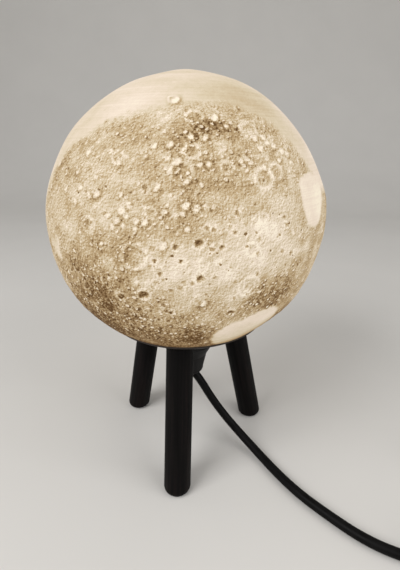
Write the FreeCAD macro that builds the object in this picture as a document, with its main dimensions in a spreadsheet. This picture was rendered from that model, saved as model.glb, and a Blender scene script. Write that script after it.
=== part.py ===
import FreeCAD, Part
import math
import os
import re
import Sketcher

# A planet lamp: a relief globe on a three-legged stand, with its lamp holder, bulb, cord, switch and plug.
# Millimetres, +Z up. The origin is on the floor under the middle of the globe, and one leg points to -Y.

Vector = FreeCAD.Vector

# Driving sizes, in millimetres and degrees
DRIVING = (
    # Globe and the base that closes it
    ("globe_diameter", 200),
    ("globe_wall", 3),
    ("mouth_diameter", 120),
    ("seat_height", 118),
    ("spigot_height", 6),
    ("spigot_clearance", 0.45),
    ("flat_margin", 5),
    ("base_lip", 1.2),
    # Legs and their screws
    ("leg_diameter", 20),
    ("leg_splay", 12),
    ("leg_inset", 21.6),
    ("foot_rounding", 4),
    ("socket_clearance", 0.15),
    ("socket_web", 3.5),
    ("leg_end_gap", 0.2),
    ("screw_diameter", 4),
    ("screw_length", 26),
    ("screw_head_diameter", 8),
    ("screw_head_height", 3),
    ("screw_recess", 4),
    ("screw_clearance", 0.4),
    ("recess_clearance", 0.6),
    ("pilot_clearance", 0.05),
    ("pilot_spare", 2),
    # Lamp holder
    ("sleeve_diameter", 40),
    ("sleeve_wall", 2.1),
    ("sleeve_rim", 6),
    ("collar_height", 2),
    ("collar_lip", 2.3),
    ("hole_clearance", 0.3),
    ("thread_clearance", 0.15),
    ("ring_diameter", 50),
    ("ring_thickness", 6),
    ("ring_grip", 14.9),
    ("ring_recess_gap", 0.8),
    ("cap_gap", 2),
    ("cap_wall", 1.85),
    ("cap_thread_depth", 8),
    ("cap_rim_height", 9.6),
    ("cap_shoulder_height", 10.5),
    ("cap_neck_height", 13.5),
    ("cap_lip_height", 3.2),
    ("neck_top_diameter", 32),
    ("neck_bottom_diameter", 25.8),
    ("lip_diameter", 23),
    ("lip_wall", 1.5),
    ("neck_wall", 3.8),
    ("ledge_width", 1.4),
    ("cap_cavity_height", 6.6),
    ("cap_web", 5),
    ("insert_clearance", 0.3),
    ("insert_skirt", 5.4),
    ("insert_skirt_wall", 3.1),
    ("insert_web", 8),
    ("shell_bore_diameter", 27),
    ("shell_wall", 0.4),
    ("shell_clearance", 0.2),
    ("shell_length", 25),
    ("contact_diameter", 8),
    ("contact_height", 3),
    ("contact_gap", 0.3),
    ("terminal_length", 6),
    ("terminal_width", 7),
    ("terminal_height", 5),
    ("terminal_gap", 1.2),
    ("terminal_screw_diameter", 3),
    ("terminal_screw_length", 2.5),
    ("wire_diameter", 2.2),
    ("wire_spacing", 3.4),
    # Gland that grips the cord in the holder's cap
    ("grip_flange_diameter", 17),
    ("grip_flange_height", 2),
    ("grip_neck_diameter", 11.8),
    ("grip_clearance", 0.2),
    ("grip_nut_height", 2.4),
    ("grip_proud", 0.2),
    ("cord_diameter", 6.8),
    ("cord_clearance", 0.1),
    ("cord_proud", 0.5),
    # Bulb
    ("bulb_diameter", 60),
    ("tip_diameter", 9.5),
    ("tip_height", 1.2),
    ("insulator_small_diameter", 13),
    ("insulator_diameter", 23),
    ("insulator_height", 3),
    ("screw_cap_diameter", 26.2),
    ("bulb_seat_gap", 0.4),
    ("bulb_neck_diameter", 29.2),
    ("bulb_neck_height", 6),
    ("housing_cone_height", 32.5),
    ("housing_rim_diameter", 57.2),
    ("housing_rim_height", 3),
    ("housing_wall", 2.2),
    ("housing_floor", 2.5),
    ("board_ledge", 2.4),
    ("board_depth", 2),
    ("board_thickness", 1.6),
    ("board_clearance", 0.3),
    ("dome_wall", 1.2),
    ("driver_width", 20),
    ("driver_height", 26),
    # Inline switch
    ("switch_x", 220),
    ("switch_y", -101),
    ("switch_length", 64),
    ("switch_width", 28),
    ("switch_height", 20),
    ("switch_parting", 10),
    ("switch_wall", 1.8),
    ("switch_corner", 6),
    ("switch_edge", 1.5),
    ("entry_clearance", 0.2),
    ("cord_grab", 8),
    ("rocker_radius", 8.2),
    ("rocker_width", 11),
    ("rocker_gap", 0.4),
    ("rocker_depth", 3),
    ("rocker_rise", 3.2),
    ("rocker_slope", 8),
    ("rocker_pin_diameter", 2.4),
    ("rocker_pin_play", 0.05),
    ("pin_seat_clearance", 0.02),
    ("pin_below_top", 3.8),
    ("lug_thickness", 2.5),
    ("lug_width", 6),
    ("block_inner", 10),
    ("block_length", 6),
    ("block_width", 4.8),
    ("block_aside", 0.2),
    ("block_proud", 1.5),
    ("post_x", 20),
    ("post_y", 8),
    ("post_diameter", 7),
    ("head_post_diameter", 9),
    ("case_screw_diameter", 2.5),
    ("case_screw_length", 12),
    ("case_head_diameter", 5.2),
    ("case_head_height", 1.8),
    ("case_recess", 4),
    ("case_hole_clearance", 0.2),
    ("case_thread_clearance", 0.05),
    # Coil of the put-away cord and its tie
    ("coil_x", 253.5),
    ("coil_y", -34),
    ("coil_radius", 46.5),
    ("coil_pitch", 7.4),
    ("coil_layer_step", 7.4),
    ("coil_turns_in", 2.75),
    ("coil_lead", 19.6),
    ("coil_lead_out", 12),
    ("tie_thickness", 1),
    ("tie_width", 8),
    ("tie_gap", 0.4),
    ("tie_rounding", 3),
    ("tie_floor_gap", 0.1),
    # Plug
    ("plug_x", 301),
    ("plug_y", 30),
    ("plug_sleeve_length", 20),
    ("plug_sleeve_small_diameter", 9.2),
    ("plug_sleeve_diameter", 11.2),
    ("plug_rear_width", 15),
    ("plug_rear_thickness", 11.6),
    ("plug_shoulder", 12),
    ("plug_front", 22),
    ("plug_width", 35),
    ("plug_thickness", 13.7),
    ("plug_rounding", 4.5),
    ("plug_pin_diameter", 4),
    ("plug_pin_length", 19),
    ("plug_pin_spacing", 18.6),
    ("plug_pin_depth", 6),
    ("plug_pin_core_diameter", 3.0),
    ("pin_sleeve_diameter", 3.6),
    ("pin_sleeve_length", 10),
    ("plug_pin_clearance", 0.05),
    ("plug_cord_depth", 8),
)

# Sizes and levels that follow from the driving ones
DERIVED = (
    # Globe and base
    ("globe_radius", "globe_diameter / 2"),
    ("globe_inner_radius", "globe_radius - globe_wall"),
    ("mouth_radius", "mouth_diameter / 2"),
    ("globe_rise", "sqrt(globe_radius * globe_radius - mouth_radius * mouth_radius)"),
    ("globe_centre", "seat_height + globe_rise"),
    ("globe_top", "globe_centre + globe_radius"),
    ("globe_inner_top", "globe_centre + globe_inner_radius"),
    ("rim_radius", "sqrt(globe_inner_radius * globe_inner_radius - globe_rise * globe_rise)"),
    ("spigot_radius", "rim_radius - spigot_clearance"),
    ("base_top", "seat_height + spigot_height"),
    ("lip_under", "seat_height - base_lip"),
    ("ring_radius", "ring_diameter / 2"),
    ("flat_radius", "ring_radius + flat_margin"),
    ("base_flat", "globe_centre - sqrt(globe_radius * globe_radius - flat_radius * flat_radius)"),
    ("sleeve_radius", "sleeve_diameter / 2"),
    ("hole_radius", "sleeve_radius + hole_clearance"),
    # Legs: distances along a leg's axis start where it meets the floor
    ("leg_radius", "leg_diameter / 2"),
    ("leg_circle_radius", "mouth_radius - leg_inset"),
    ("foot_circle_radius", "leg_circle_radius + seat_height * tan(leg_splay)"),
    ("screw_seat", "base_top / cos(leg_splay) - screw_recess"),
    ("socket_end", "screw_seat - socket_web"),
    ("leg_length", "socket_end - leg_end_gap"),
    ("pilot_depth", "screw_length - socket_web + pilot_spare"),
    # Lamp holder
    ("ring_seat", "base_top - ring_grip"),
    ("recess_radius", "ring_radius + ring_recess_gap"),
    ("ring_low", "ring_seat - ring_thickness"),
    ("ring_high", "base_top + ring_thickness"),
    ("ring_bore", "sleeve_radius + thread_clearance"),
    ("sleeve_bore", "sleeve_radius - sleeve_wall"),
    ("sleeve_top", "ring_high + sleeve_rim"),
    ("collar_under", "sleeve_top - collar_height"),
    ("collar_bore", "sleeve_bore - collar_lip"),
    ("cap_top", "ring_low - cap_gap"),
    ("cap_radius", "ring_bore + cap_wall"),
    ("cap_ledge", "cap_top - cap_thread_depth"),
    ("shoulder_top", "cap_top - cap_rim_height"),
    ("neck_top", "shoulder_top - cap_shoulder_height"),
    ("neck_bottom", "neck_top - cap_neck_height"),
    ("cap_mouth", "neck_bottom - cap_lip_height"),
    ("neck_top_radius", "neck_top_diameter / 2"),
    ("neck_bottom_radius", "neck_bottom_diameter / 2"),
    ("lip_radius", "lip_diameter / 2"),
    ("mouth_bore", "lip_radius - lip_wall"),
    ("skirt_bore", "neck_top_radius - neck_wall"),
    ("cavity_radius", "sleeve_bore - ledge_width"),
    ("web_top", "cap_ledge - cap_cavity_height"),
    ("web_bottom", "web_top - cap_web"),
    ("insert_radius", "sleeve_bore - insert_clearance"),
    ("insert_top", "collar_under - insert_clearance"),
    ("insert_skirt_bore", "insert_radius - insert_skirt_wall"),
    ("insert_under", "cap_ledge + insert_skirt"),
    ("insert_floor", "insert_under + insert_web"),
    ("shell_bore", "shell_bore_diameter / 2"),
    ("shell_radius", "shell_bore + shell_wall"),
    ("shell_top", "insert_floor + shell_length"),
    ("insert_bore", "shell_radius + shell_clearance"),
    ("contact_radius", "contact_diameter / 2"),
    ("contact_top", "insert_floor + contact_height"),
    ("terminal_under", "insert_under - terminal_height"),
    ("wire_radius", "wire_diameter / 2"),
    # Gland
    ("cord_radius", "cord_diameter / 2"),
    ("cord_bore", "cord_radius + cord_clearance"),
    ("grip_under", "web_bottom - grip_flange_height"),
    ("grip_flange_radius", "grip_flange_diameter / 2"),
    ("grip_neck_radius", "grip_neck_diameter / 2"),
    ("grip_hole", "grip_neck_radius + grip_clearance"),
    ("grip_nut_top", "web_top + grip_nut_height"),
    ("grip_top", "grip_nut_top + grip_proud"),
    ("cord_top", "grip_top + cord_proud"),
    # Bulb
    ("tip_under", "contact_top + contact_gap"),
    ("tip_radius", "tip_diameter / 2"),
    ("insulator_under", "tip_under + tip_height"),
    ("insulator_small_radius", "insulator_small_diameter / 2"),
    ("insulator_radius", "insulator_diameter / 2"),
    ("screw_cap_under", "insulator_under + insulator_height"),
    ("screw_cap_radius", "screw_cap_diameter / 2"),
    ("housing_under", "insert_top + bulb_seat_gap"),
    ("screw_cap_height", "housing_under - screw_cap_under"),
    ("bulb_neck_radius", "bulb_neck_diameter / 2"),
    ("bulb_neck_top", "housing_under + bulb_neck_height"),
    ("housing_rim_under", "bulb_neck_top + housing_cone_height"),
    ("housing_rim_radius", "housing_rim_diameter / 2"),
    ("housing_top", "housing_rim_under + housing_rim_height"),
    ("housing_bore", "housing_rim_radius - housing_wall"),
    ("housing_inside", "housing_under + housing_floor"),
    ("neck_bore", "bulb_neck_radius - housing_wall"),
    ("board_under", "housing_top - board_depth"),
    ("board_top", "board_under + board_thickness"),
    ("board_ledge_bore", "housing_bore - board_ledge"),
    ("board_radius", "housing_bore - board_clearance"),
    ("dome_radius", "bulb_diameter / 2"),
    ("dome_rise", "sqrt(dome_radius * dome_radius - housing_rim_radius * housing_rim_radius)"),
    ("dome_top", "housing_top + dome_rise + dome_radius"),
    ("dome_inner_radius", "dome_radius - dome_wall"),
    ("dome_inner_top", "dome_top - dome_wall"),
    ("dome_foot_radius", "sqrt(dome_inner_radius * dome_inner_radius - dome_rise * dome_rise)"),
    # Inline switch
    ("rocker_pin_height", "switch_height - pin_below_top"),
    ("rocker_pin_radius", "rocker_pin_diameter / 2"),
    ("rocker_half_width", "rocker_width / 2"),
    ("window_half_width", "rocker_half_width + rocker_gap"),
    ("window_half_length", "rocker_radius + rocker_gap"),
    ("pin_half_length", "window_half_width + lug_thickness"),
    ("case_ceiling", "switch_height - switch_wall"),
    ("cavity_corner", "switch_corner - switch_wall"),
    ("block_top", "switch_parting + block_proud"),
    ("cord_end_offset", "switch_length / 2 - cord_grab"),
    # Coil, tie and plug
    ("coil_height", "tie_floor_gap + tie_thickness + tie_gap + cord_radius"),
    ("plug_height", "plug_thickness / 2"),
    ("plug_body_front", "plug_sleeve_length + plug_shoulder + plug_front"),
)

# Middle line of the seen cord, from the holder's cap along the floor.
# Its two ends follow the holder and the switch.
LAMP_CORD_POINTS = (
    (0, 0, 74.5),
    (4, -1.7, 63.5),
    (11.5, -3.7, 55),
    (20.5, -3.5, 38.5),
    (32.5, -5.5, 22.5),
    (46.5, -12, 10.5),
    (60.5, -24, 4),
    (75, -43.5, 3.5),
    (90.5, -61.5, 3.5),
    (107.5, -76, 3.5),
    (127.5, -91.5, 3.5),
    (148.5, -95, 3.5),
    (167.5, -100, 5),
    (182, -101, 10),
)
# Middle line from the switch to the coil, and from the coil to the plug
MAINS_LEAD_POINTS = (
    (260, -101, 10),
    (278.5, -93.5, 8),
    (293, -79, 5.8),
)
TAIL_POINTS = (
    (300.8, -2.5, 8.6),
    (301, 10, 5.7),
    (301, 24, 6.85),
)

# Share of a cord's shorter run that each bend takes, from either side of its point
BEND_SHARE = 0.45
LEGS = ("leg_front", "leg_right", "leg_left")

doc = FreeCAD.newDocument("planet_lamp")
sheet = doc.addObject("Spreadsheet::Sheet", "sizes")
ALIASES = set()
for row, (alias, content) in enumerate(DRIVING + DERIVED, 1):
    formula = isinstance(content, str)
    sheet.set(f"A{row}", alias)
    sheet.set(f"B{row}", "=" + content if formula else str(content))
    sheet.setAlias(f"B{row}", alias)
    ALIASES.add(alias)
doc.recompute()

NODES = []


def size(alias):
    """The value of a named size."""
    return float(sheet.get(alias))


def sized_word(found):
    """One word of a formula, with the sheet's name before it if it is a named size."""
    word = found.group()
    return "sizes." + word if word in ALIASES else word


def sized(formula):
    """A formula of named sizes, as the document's objects read it."""
    return re.sub(r"[a-z_]+", sized_word, str(formula))


def bind(obj, prop, formula):
    """Tie one property of an object to a formula of named sizes."""
    obj.setExpression(prop, sized(formula))


def node(obj, label):
    """Give an object the name of the sub-part that it is."""
    obj.Label = label
    NODES.append(obj)
    return obj


# Turned pieces


def add_edge(sketch, start, end, bend):
    """Add a line, or an arc of the given radius, and say which of its ends are its start and its end.

    The radius of a bend to the left is positive, and of a bend to the right negative.
    """
    if not bend:
        sketch.addGeometry(Part.LineSegment(start, end))
        return 1, 2
    middle = (start + end) / 2
    half = (end - start).Length / 2
    left = Vector(start.y - end.y, end.x - start.x, 0).normalize()
    centre = middle + left * math.copysign(math.sqrt(bend * bend - half * half), bend)
    first, last = (start, end) if bend > 0 else (end, start)
    angles = [math.atan2(p.y - centre.y, p.x - centre.x) for p in (first, last)]
    circle = Part.Circle(centre, Vector(0, 0, 1), abs(bend))
    sketch.addGeometry(Part.ArcOfCircle(circle, angles[0], angles[1]))
    return (1, 2) if bend > 0 else (2, 1)


def turned(label, *corners):
    """A body turned about the vertical axis.

    A corner is (radius, height), both named sizes, with None as the radius of a corner on the axis.
    A third entry is the named radius of the arc to the next corner, with a minus sign where the arc
    bends to the right.
    """
    body = doc.addObject("PartDesign::Body", label)
    sketch = body.newObject("Sketcher::SketchObject", label + "_outline")
    plane = next(f for f in body.Origin.OriginFeatures if f.Role == "XZ_Plane")
    sketch.AttachmentSupport = [(plane, "")]
    sketch.MapMode = "FlatFace"
    points = [Vector(size(c[0]) if c[0] else 0, size(c[1]), 0) for c in corners]
    ends = []
    for i, corner in enumerate(corners):
        name = corner[2] if len(corner) > 2 else ""
        bend = size(name.lstrip("-")) * (-1 if name.startswith("-") else 1) if name else 0
        ends.append(add_edge(sketch, points[i], points[(i + 1) % len(points)], bend))
    for i, corner in enumerate(corners):
        follower = (i + 1) % len(corners)
        sketch.addConstraint(Sketcher.Constraint("Coincident", i, ends[i][1], follower, ends[follower][0]))
        if corner[0]:
            constraint = Sketcher.Constraint("DistanceX", -1, 1, i, ends[i][0], points[i].x)
            name_constraint(sketch, constraint, f"radius_{i}", corner[0])
        else:
            sketch.addConstraint(Sketcher.Constraint("PointOnObject", i, ends[i][0], -2))
        constraint = Sketcher.Constraint("DistanceY", -1, 1, i, ends[i][0], points[i].y)
        name_constraint(sketch, constraint, f"height_{i}", corner[1])
        if len(corner) > 2:
            name = corner[2].lstrip("-")
            name_constraint(sketch, Sketcher.Constraint("Radius", i, size(name)), f"bend_{i}", name)
    turn = body.newObject("PartDesign::Revolution", label + "_turn")
    turn.Profile = sketch
    turn.ReferenceAxis = (sketch, ["V_Axis"])
    turn.Angle = 360
    body.Tip = turn
    return body


def name_constraint(sketch, constraint, name, alias):
    """Add a constraint under a name and tie it to a named size."""
    index = sketch.addConstraint(constraint)
    sketch.renameConstraint(index, name)
    bind(sketch, "Constraints." + name, alias)


def tube_ring(label, bore, radius, low, high):
    """A plain turned ring."""
    return turned(label, (bore, low), (radius, low), (radius, high), (bore, high))


# Straight pieces

TURN_TO = {
    "x": FreeCAD.Rotation(Vector(0, 1, 0), 90),
    "y": FreeCAD.Rotation(Vector(1, 0, 0), -90),
    "z": FreeCAD.Rotation(),
}


def rod(label, radius, length, start, axis="z"):
    """A round bar from a start point along an axis."""
    obj = doc.addObject("Part::Cylinder", label)
    obj.Placement = FreeCAD.Placement(Vector(), TURN_TO[axis])
    bind(obj, "Radius", radius)
    bind(obj, "Height", length)
    for name, formula in zip("xyz", start):
        bind(obj, "Placement.Base." + name, formula)
    return obj


def box(label, low, high):
    """A block between its lowest and highest corner."""
    obj = doc.addObject("Part::Box", label)
    for prop, below, above in zip(("Length", "Width", "Height"), low, high):
        bind(obj, prop, f"({above}) - ({below})")
    for name, formula in zip("xyz", low):
        bind(obj, "Placement.Base." + name, formula)
    return obj


def cut(label, base, *tools):
    """A piece with one or more tools taken out of it."""
    obj = doc.addObject("Part::Cut", label)
    obj.Base = base
    obj.Tool = tools[0] if len(tools) == 1 else joined(label + "_tools", *tools)
    return obj


def joined(label, *pieces):
    """Overlapping pieces made one."""
    obj = doc.addObject("Part::MultiFuse", label)
    obj.Shapes = list(pieces)
    return obj


def group(label, *pieces):
    """Separate like solids that share one node."""
    obj = doc.addObject("Part::Compound", label)
    obj.Links = list(pieces)
    return obj


def rounded(label, base, radius, wanted):
    """A piece with a fillet on each edge for which wanted is true."""
    doc.recompute()
    obj = doc.addObject("Part::Fillet", label)
    obj.Base = base
    edges = [i for i, edge in enumerate(base.Shape.Edges, 1) if wanted(edge)]
    obj.Edges = [(i, size(radius), size(radius)) for i in edges]
    return obj


def upright(edge):
    """True for a straight vertical edge."""
    span = edge.BoundBox
    return span.ZLength > 0.5 and span.XLength < 1e-6 and span.YLength < 1e-6


def at_level(height):
    """A test for edges that lie at one height."""
    return lambda edge: abs(edge.BoundBox.ZMin - height) < 1e-4 and abs(edge.BoundBox.ZMax - height) < 1e-4


def built(label, shape):
    """A sub-part whose shape is worked out here from the named sizes."""
    obj = doc.addObject("Part::Feature", label)
    obj.Shape = shape
    return obj


# Round runs of cord


def swept(label, wire, radius):
    """A solid of round section along a path, with its volume compared with section times length."""
    start = wire.OrderedVertexes[0].Point
    direction = wire.OrderedEdges[0].tangentAt(wire.OrderedEdges[0].FirstParameter)
    section = Part.Wire([Part.Circle(start, direction, radius).toShape()])
    solid = wire.makePipeShell([section], True, False)
    wanted = math.pi * radius * radius * wire.Length
    print(f"{label}: {wire.Length:.1f} mm long, volume {solid.Volume / wanted:.4f} of section times length")
    if not solid.isValid() or abs(solid.Volume / wanted - 1) > 0.01:
        raise RuntimeError(label + " is not a sound tube")
    return built(label, solid)


def bent_path(label, points):
    """Straight runs joined by tangent arcs, each as large as its two runs allow."""
    points = [Vector(*p) for p in points]
    edges = []
    radii = []
    at = points[0]
    for before, corner, after in zip(points, points[1:], points[2:]):
        into = (corner - before).normalize()
        out = (after - corner).normalize()
        reach = BEND_SHARE * min((corner - before).Length, (after - corner).Length)
        half_turn = into.getAngle(out) / 2
        radius = reach / math.tan(half_turn)
        inward = (out - into).normalize()
        middle = corner + inward * (radius / math.cos(half_turn) - radius)
        first = corner - into * reach
        last = corner + out * reach
        edges.append(Part.LineSegment(at, first).toShape())
        edges.append(Part.Arc(first, middle, last).toShape())
        radii.append(radius)
        at = last
    edges.append(Part.LineSegment(at, points[-1]).toShape())
    print(label, "radii", [round(r, 1) for r in radii])
    return Part.Wire(edges)


def arc_between(start, apex, end):
    """The arc that leaves start towards apex and reaches end from it."""
    middle = (start + end) / 2
    half = (end - start).Length / 2
    rise = (apex - middle).Length
    sagitta = half * math.tan(math.atan2(rise, half) / 2)
    return Part.Arc(start, middle + (apex - middle) / rise * sagitta, end).toShape()


def biarc(start, heading, end, end_heading):
    """Two tangent arcs from one point and heading to another."""
    chord = end - start
    both = heading + end_heading
    spare = 2 * (1 - heading.dot(end_heading))
    along = chord.dot(both)
    reach = (math.sqrt(along * along + spare * chord.dot(chord)) - along) / spare
    apex = start + heading * reach
    end_apex = end - end_heading * reach
    joint = (apex + end_apex) / 2
    return [arc_between(start, apex, joint), arc_between(joint, end_apex, end)]


COIL_IN = 2 * math.pi * size("coil_turns_in")
COIL_END = 2 * COIL_IN + math.pi


def coil_point(turn):
    """Middle of the coiled cord: it winds in, climbs a layer in half a turn, and winds out again."""
    rate = size("coil_pitch") / (2 * math.pi)
    inmost = size("coil_radius") - rate * COIL_IN
    climb = min(max((turn - COIL_IN) / math.pi, 0), 1)
    radius = inmost - rate * math.pi * (climb - climb * climb)
    radius += rate * max(COIL_IN - turn, turn - COIL_IN - math.pi, 0)
    height = size("coil_height") + size("coil_layer_step") * (3 - 2 * climb) * climb * climb
    x = size("coil_x") + radius * math.cos(turn)
    y = size("coil_y") + radius * math.sin(turn)
    return Vector(x, y, height)


def coil_heading(turn):
    """Direction of the coiled cord."""
    step = 1e-4
    return (coil_point(turn + step) - coil_point(turn - step)).normalize()


def coil_path():
    """The coil as biarcs of a quarter turn, with a straight end of one diameter at each side."""
    count = round(COIL_END / (math.pi / 2))
    turns = [COIL_END * i / count for i in range(count + 1)]
    points = [coil_point(t) for t in turns]
    headings = [coil_heading(t) for t in turns]
    headings[0].z = 0
    headings[-1].z = 0
    straight = size("cord_diameter")
    edges = [Part.LineSegment(points[0] - headings[0] * straight, points[0]).toShape()]
    for i in range(count):
        edges += biarc(points[i], headings[i], points[i + 1], headings[i + 1])
    edges.append(Part.LineSegment(points[-1], points[-1] + headings[-1] * straight).toShape())
    return Part.Wire(edges)


def self_gap(wire, diameter):
    """Least gap between stretches of a coiled cord that lie more than a half turn apart."""
    samples = wire.discretize(Number=900)
    apart = int(len(samples) * math.pi / COIL_END)
    nearest = min(
        samples[i].distanceToPoint(samples[j])
        for i in range(len(samples))
        for j in range(i + apart, len(samples))
    )
    return nearest - diameter


# Globe and base

globe = turned(
    "globe_shell",
    ("rim_radius", "seat_height"),
    ("mouth_radius", "seat_height", "globe_radius"),
    (None, "globe_top"),
    (None, "globe_inner_top", "-globe_inner_radius"),
)
node(globe, "globe_shell")

base_blank = turned(
    "base_blank",
    ("hole_radius", "ring_seat"),
    ("recess_radius", "ring_seat"),
    ("recess_radius", "base_flat"),
    ("flat_radius", "base_flat", "globe_radius"),
    ("mouth_radius", "lip_under"),
    ("mouth_radius", "seat_height"),
    ("spigot_radius", "seat_height"),
    ("spigot_radius", "base_top"),
    ("hole_radius", "base_top"),
)


def along_leg(label, azimuth, radius, start, end):
    """A round bar on a leg's axis, between two distances from the floor."""
    obj = doc.addObject("Part::Cylinder", label)
    bind(obj, "Radius", radius)
    bind(obj, "Height", f"({end}) - ({start})")
    out = f"(foot_circle_radius - ({start}) * sin(leg_splay))"
    place = f"vector({out} * cos({azimuth}); {out} * sin({azimuth}); ({start}) * cos(leg_splay))"
    lean = f"rotation(vector(0; 0; 1); {azimuth}) * rotation(vector(0; 1; 0); -leg_splay)"
    bind(obj, "Placement", f"placement({place}; {lean})")
    return obj


floor_block = box(
    "floor_block",
    ("-globe_diameter", "-globe_diameter", "-2 * leg_diameter"),
    ("globe_diameter", "globe_diameter", "0"),
)
base_tools = []
screws = []
for step, label in enumerate(LEGS):
    azimuth = 120 * step - 90
    dowel = along_leg(label + "_dowel", azimuth, "leg_radius", "-leg_diameter", "leg_length")
    standing = cut(label + "_standing", dowel, floor_block)
    footed = rounded(label + "_footed", standing, "foot_rounding", at_level(0))
    pilot_radius = "screw_diameter / 2 + pilot_clearance"
    pilot = along_leg(label + "_pilot", azimuth, pilot_radius, "leg_length - pilot_depth", "leg_length + 1")
    node(cut(label, footed, pilot), label)
    base_tools += [
        along_leg(label + "_socket", azimuth, "leg_radius + socket_clearance", 0, "socket_end"),
        along_leg(
            label + "_screw_hole",
            azimuth,
            "(screw_diameter + screw_clearance) / 2",
            "socket_end - 1",
            "screw_seat + 1",
        ),
        along_leg(
            label + "_recess",
            azimuth,
            "screw_head_diameter / 2 + recess_clearance",
            "screw_seat",
            "screw_seat + 3 * screw_recess",
        ),
    ]
    head = along_leg(
        label + "_screw_head",
        azimuth,
        "screw_head_diameter / 2",
        "screw_seat",
        "screw_seat + screw_head_height",
    )
    shank = along_leg(
        label + "_screw_shank",
        azimuth,
        "screw_diameter / 2",
        "screw_seat - screw_length",
        "screw_seat + screw_head_height / 2",
    )
    screws.append(joined(label + "_screw", head, shank))
node(cut("base_cap", base_blank, *base_tools), "base_cap")
node(group("leg_screws", *screws), "leg_screws")

# Lamp holder

node(tube_ring("ring_lower", "ring_bore", "ring_radius", "ring_low", "ring_seat"), "ring_lower")
node(tube_ring("ring_upper", "ring_bore", "ring_radius", "base_top", "ring_high"), "ring_upper")
node(
    turned(
        "holder_sleeve",
        ("sleeve_bore", "cap_ledge"),
        ("sleeve_radius", "cap_ledge"),
        ("sleeve_radius", "sleeve_top"),
        ("collar_bore", "sleeve_top"),
        ("collar_bore", "collar_under"),
        ("sleeve_bore", "collar_under"),
    ),
    "holder_sleeve",
)
node(
    turned(
        "holder_cap",
        ("mouth_bore", "cap_mouth"),
        ("lip_radius", "cap_mouth", "cap_lip_height"),
        ("neck_bottom_radius", "neck_bottom"),
        ("neck_top_radius", "neck_top"),
        ("cap_radius", "shoulder_top"),
        ("cap_radius", "cap_top"),
        ("ring_bore", "cap_top"),
        ("ring_bore", "cap_ledge"),
        ("cavity_radius", "cap_ledge"),
        ("cavity_radius", "web_top"),
        ("grip_hole", "web_top"),
        ("grip_hole", "web_bottom"),
        ("skirt_bore", "web_bottom"),
    ),
    "holder_cap",
)
node(
    turned(
        "holder_insert",
        ("insert_skirt_bore", "cap_ledge"),
        ("insert_radius", "cap_ledge"),
        ("insert_radius", "insert_top"),
        ("insert_bore", "insert_top"),
        ("insert_bore", "insert_floor"),
        (None, "insert_floor"),
        (None, "insert_under"),
        ("insert_skirt_bore", "insert_under"),
    ),
    "holder_insert",
)
node(tube_ring("thread_shell", "shell_bore", "shell_radius", "insert_floor", "shell_top"), "thread_shell")
node(rod("centre_contact", "contact_radius", "contact_height", (0, 0, "insert_floor")), "centre_contact")
terminals = []
terminal_screws = []
wires = []
for side, sign in (("right", 1), ("left", -1)):
    near = "terminal_gap / 2"
    far = "terminal_gap / 2 + terminal_length"
    low_x, high_x = (near, far) if sign > 0 else (f"-({far})", f"-({near})")
    terminals.append(
        box(
            f"terminal_{side}",
            (low_x, "-terminal_width / 2", "terminal_under"),
            (high_x, "terminal_width / 2", "insert_under"),
        )
    )
    screw_start = far if sign > 0 else f"-({far}) - terminal_screw_length"
    screw_level = "terminal_under + terminal_height / 2"
    terminal_screws.append(
        rod(
            f"terminal_screw_{side}",
            "terminal_screw_diameter / 2",
            "terminal_screw_length",
            (screw_start, 0, screw_level),
            "x",
        )
    )
    wire_start = (f"{sign} * wire_spacing / 2", 0, "cord_top")
    wires.append(rod(f"wire_{side}", "wire_radius", "terminal_under - cord_top", wire_start))
node(group("holder_terminals", *terminals), "holder_terminals")
node(group("terminal_screws", *terminal_screws), "terminal_screws")
node(group("holder_wires", *wires), "holder_wires")
node(
    turned(
        "cord_grip",
        ("cord_bore", "grip_under"),
        ("grip_flange_radius", "grip_under"),
        ("grip_flange_radius", "web_bottom"),
        ("grip_neck_radius", "web_bottom"),
        ("grip_neck_radius", "grip_top"),
        ("cord_bore", "grip_top"),
    ),
    "cord_grip",
)
node(tube_ring("grip_nut", "grip_hole", "grip_flange_radius", "web_top", "grip_nut_top"), "grip_nut")

# Bulb

node(rod("bulb_tip", "tip_radius", "tip_height", (0, 0, "tip_under")), "bulb_tip")
node(
    turned(
        "bulb_insulator",
        (None, "insulator_under"),
        ("insulator_small_radius", "insulator_under"),
        ("insulator_radius", "screw_cap_under"),
        (None, "screw_cap_under"),
    ),
    "bulb_insulator",
)
screw_cap = rod("bulb_screw_cap", "screw_cap_radius", "screw_cap_height", (0, 0, "screw_cap_under"))
node(screw_cap, "bulb_screw_cap")
node(
    turned(
        "bulb_housing",
        (None, "housing_under"),
        ("bulb_neck_radius", "housing_under"),
        ("bulb_neck_radius", "bulb_neck_top"),
        ("housing_rim_radius", "housing_rim_under"),
        ("housing_rim_radius", "housing_top"),
        ("housing_bore", "housing_top"),
        ("housing_bore", "board_under"),
        ("board_ledge_bore", "board_under"),
        ("neck_bore", "bulb_neck_top"),
        ("neck_bore", "housing_inside"),
        (None, "housing_inside"),
    ),
    "bulb_housing",
)
node(rod("led_board", "board_radius", "board_thickness", (0, 0, "board_under")), "led_board")
node(
    box(
        "driver_board",
        ("-driver_width / 2", "-board_thickness / 2", "housing_inside"),
        ("driver_width / 2", "board_thickness / 2", "housing_inside + driver_height"),
    ),
    "driver_board",
)
node(
    turned(
        "bulb_dome",
        ("dome_foot_radius", "housing_top"),
        ("housing_rim_radius", "housing_top", "dome_radius"),
        (None, "dome_top"),
        (None, "dome_inner_top", "-dome_inner_radius"),
    ),
    "bulb_dome",
)

# Inline switch: the case is parted at the height of the cord

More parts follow.
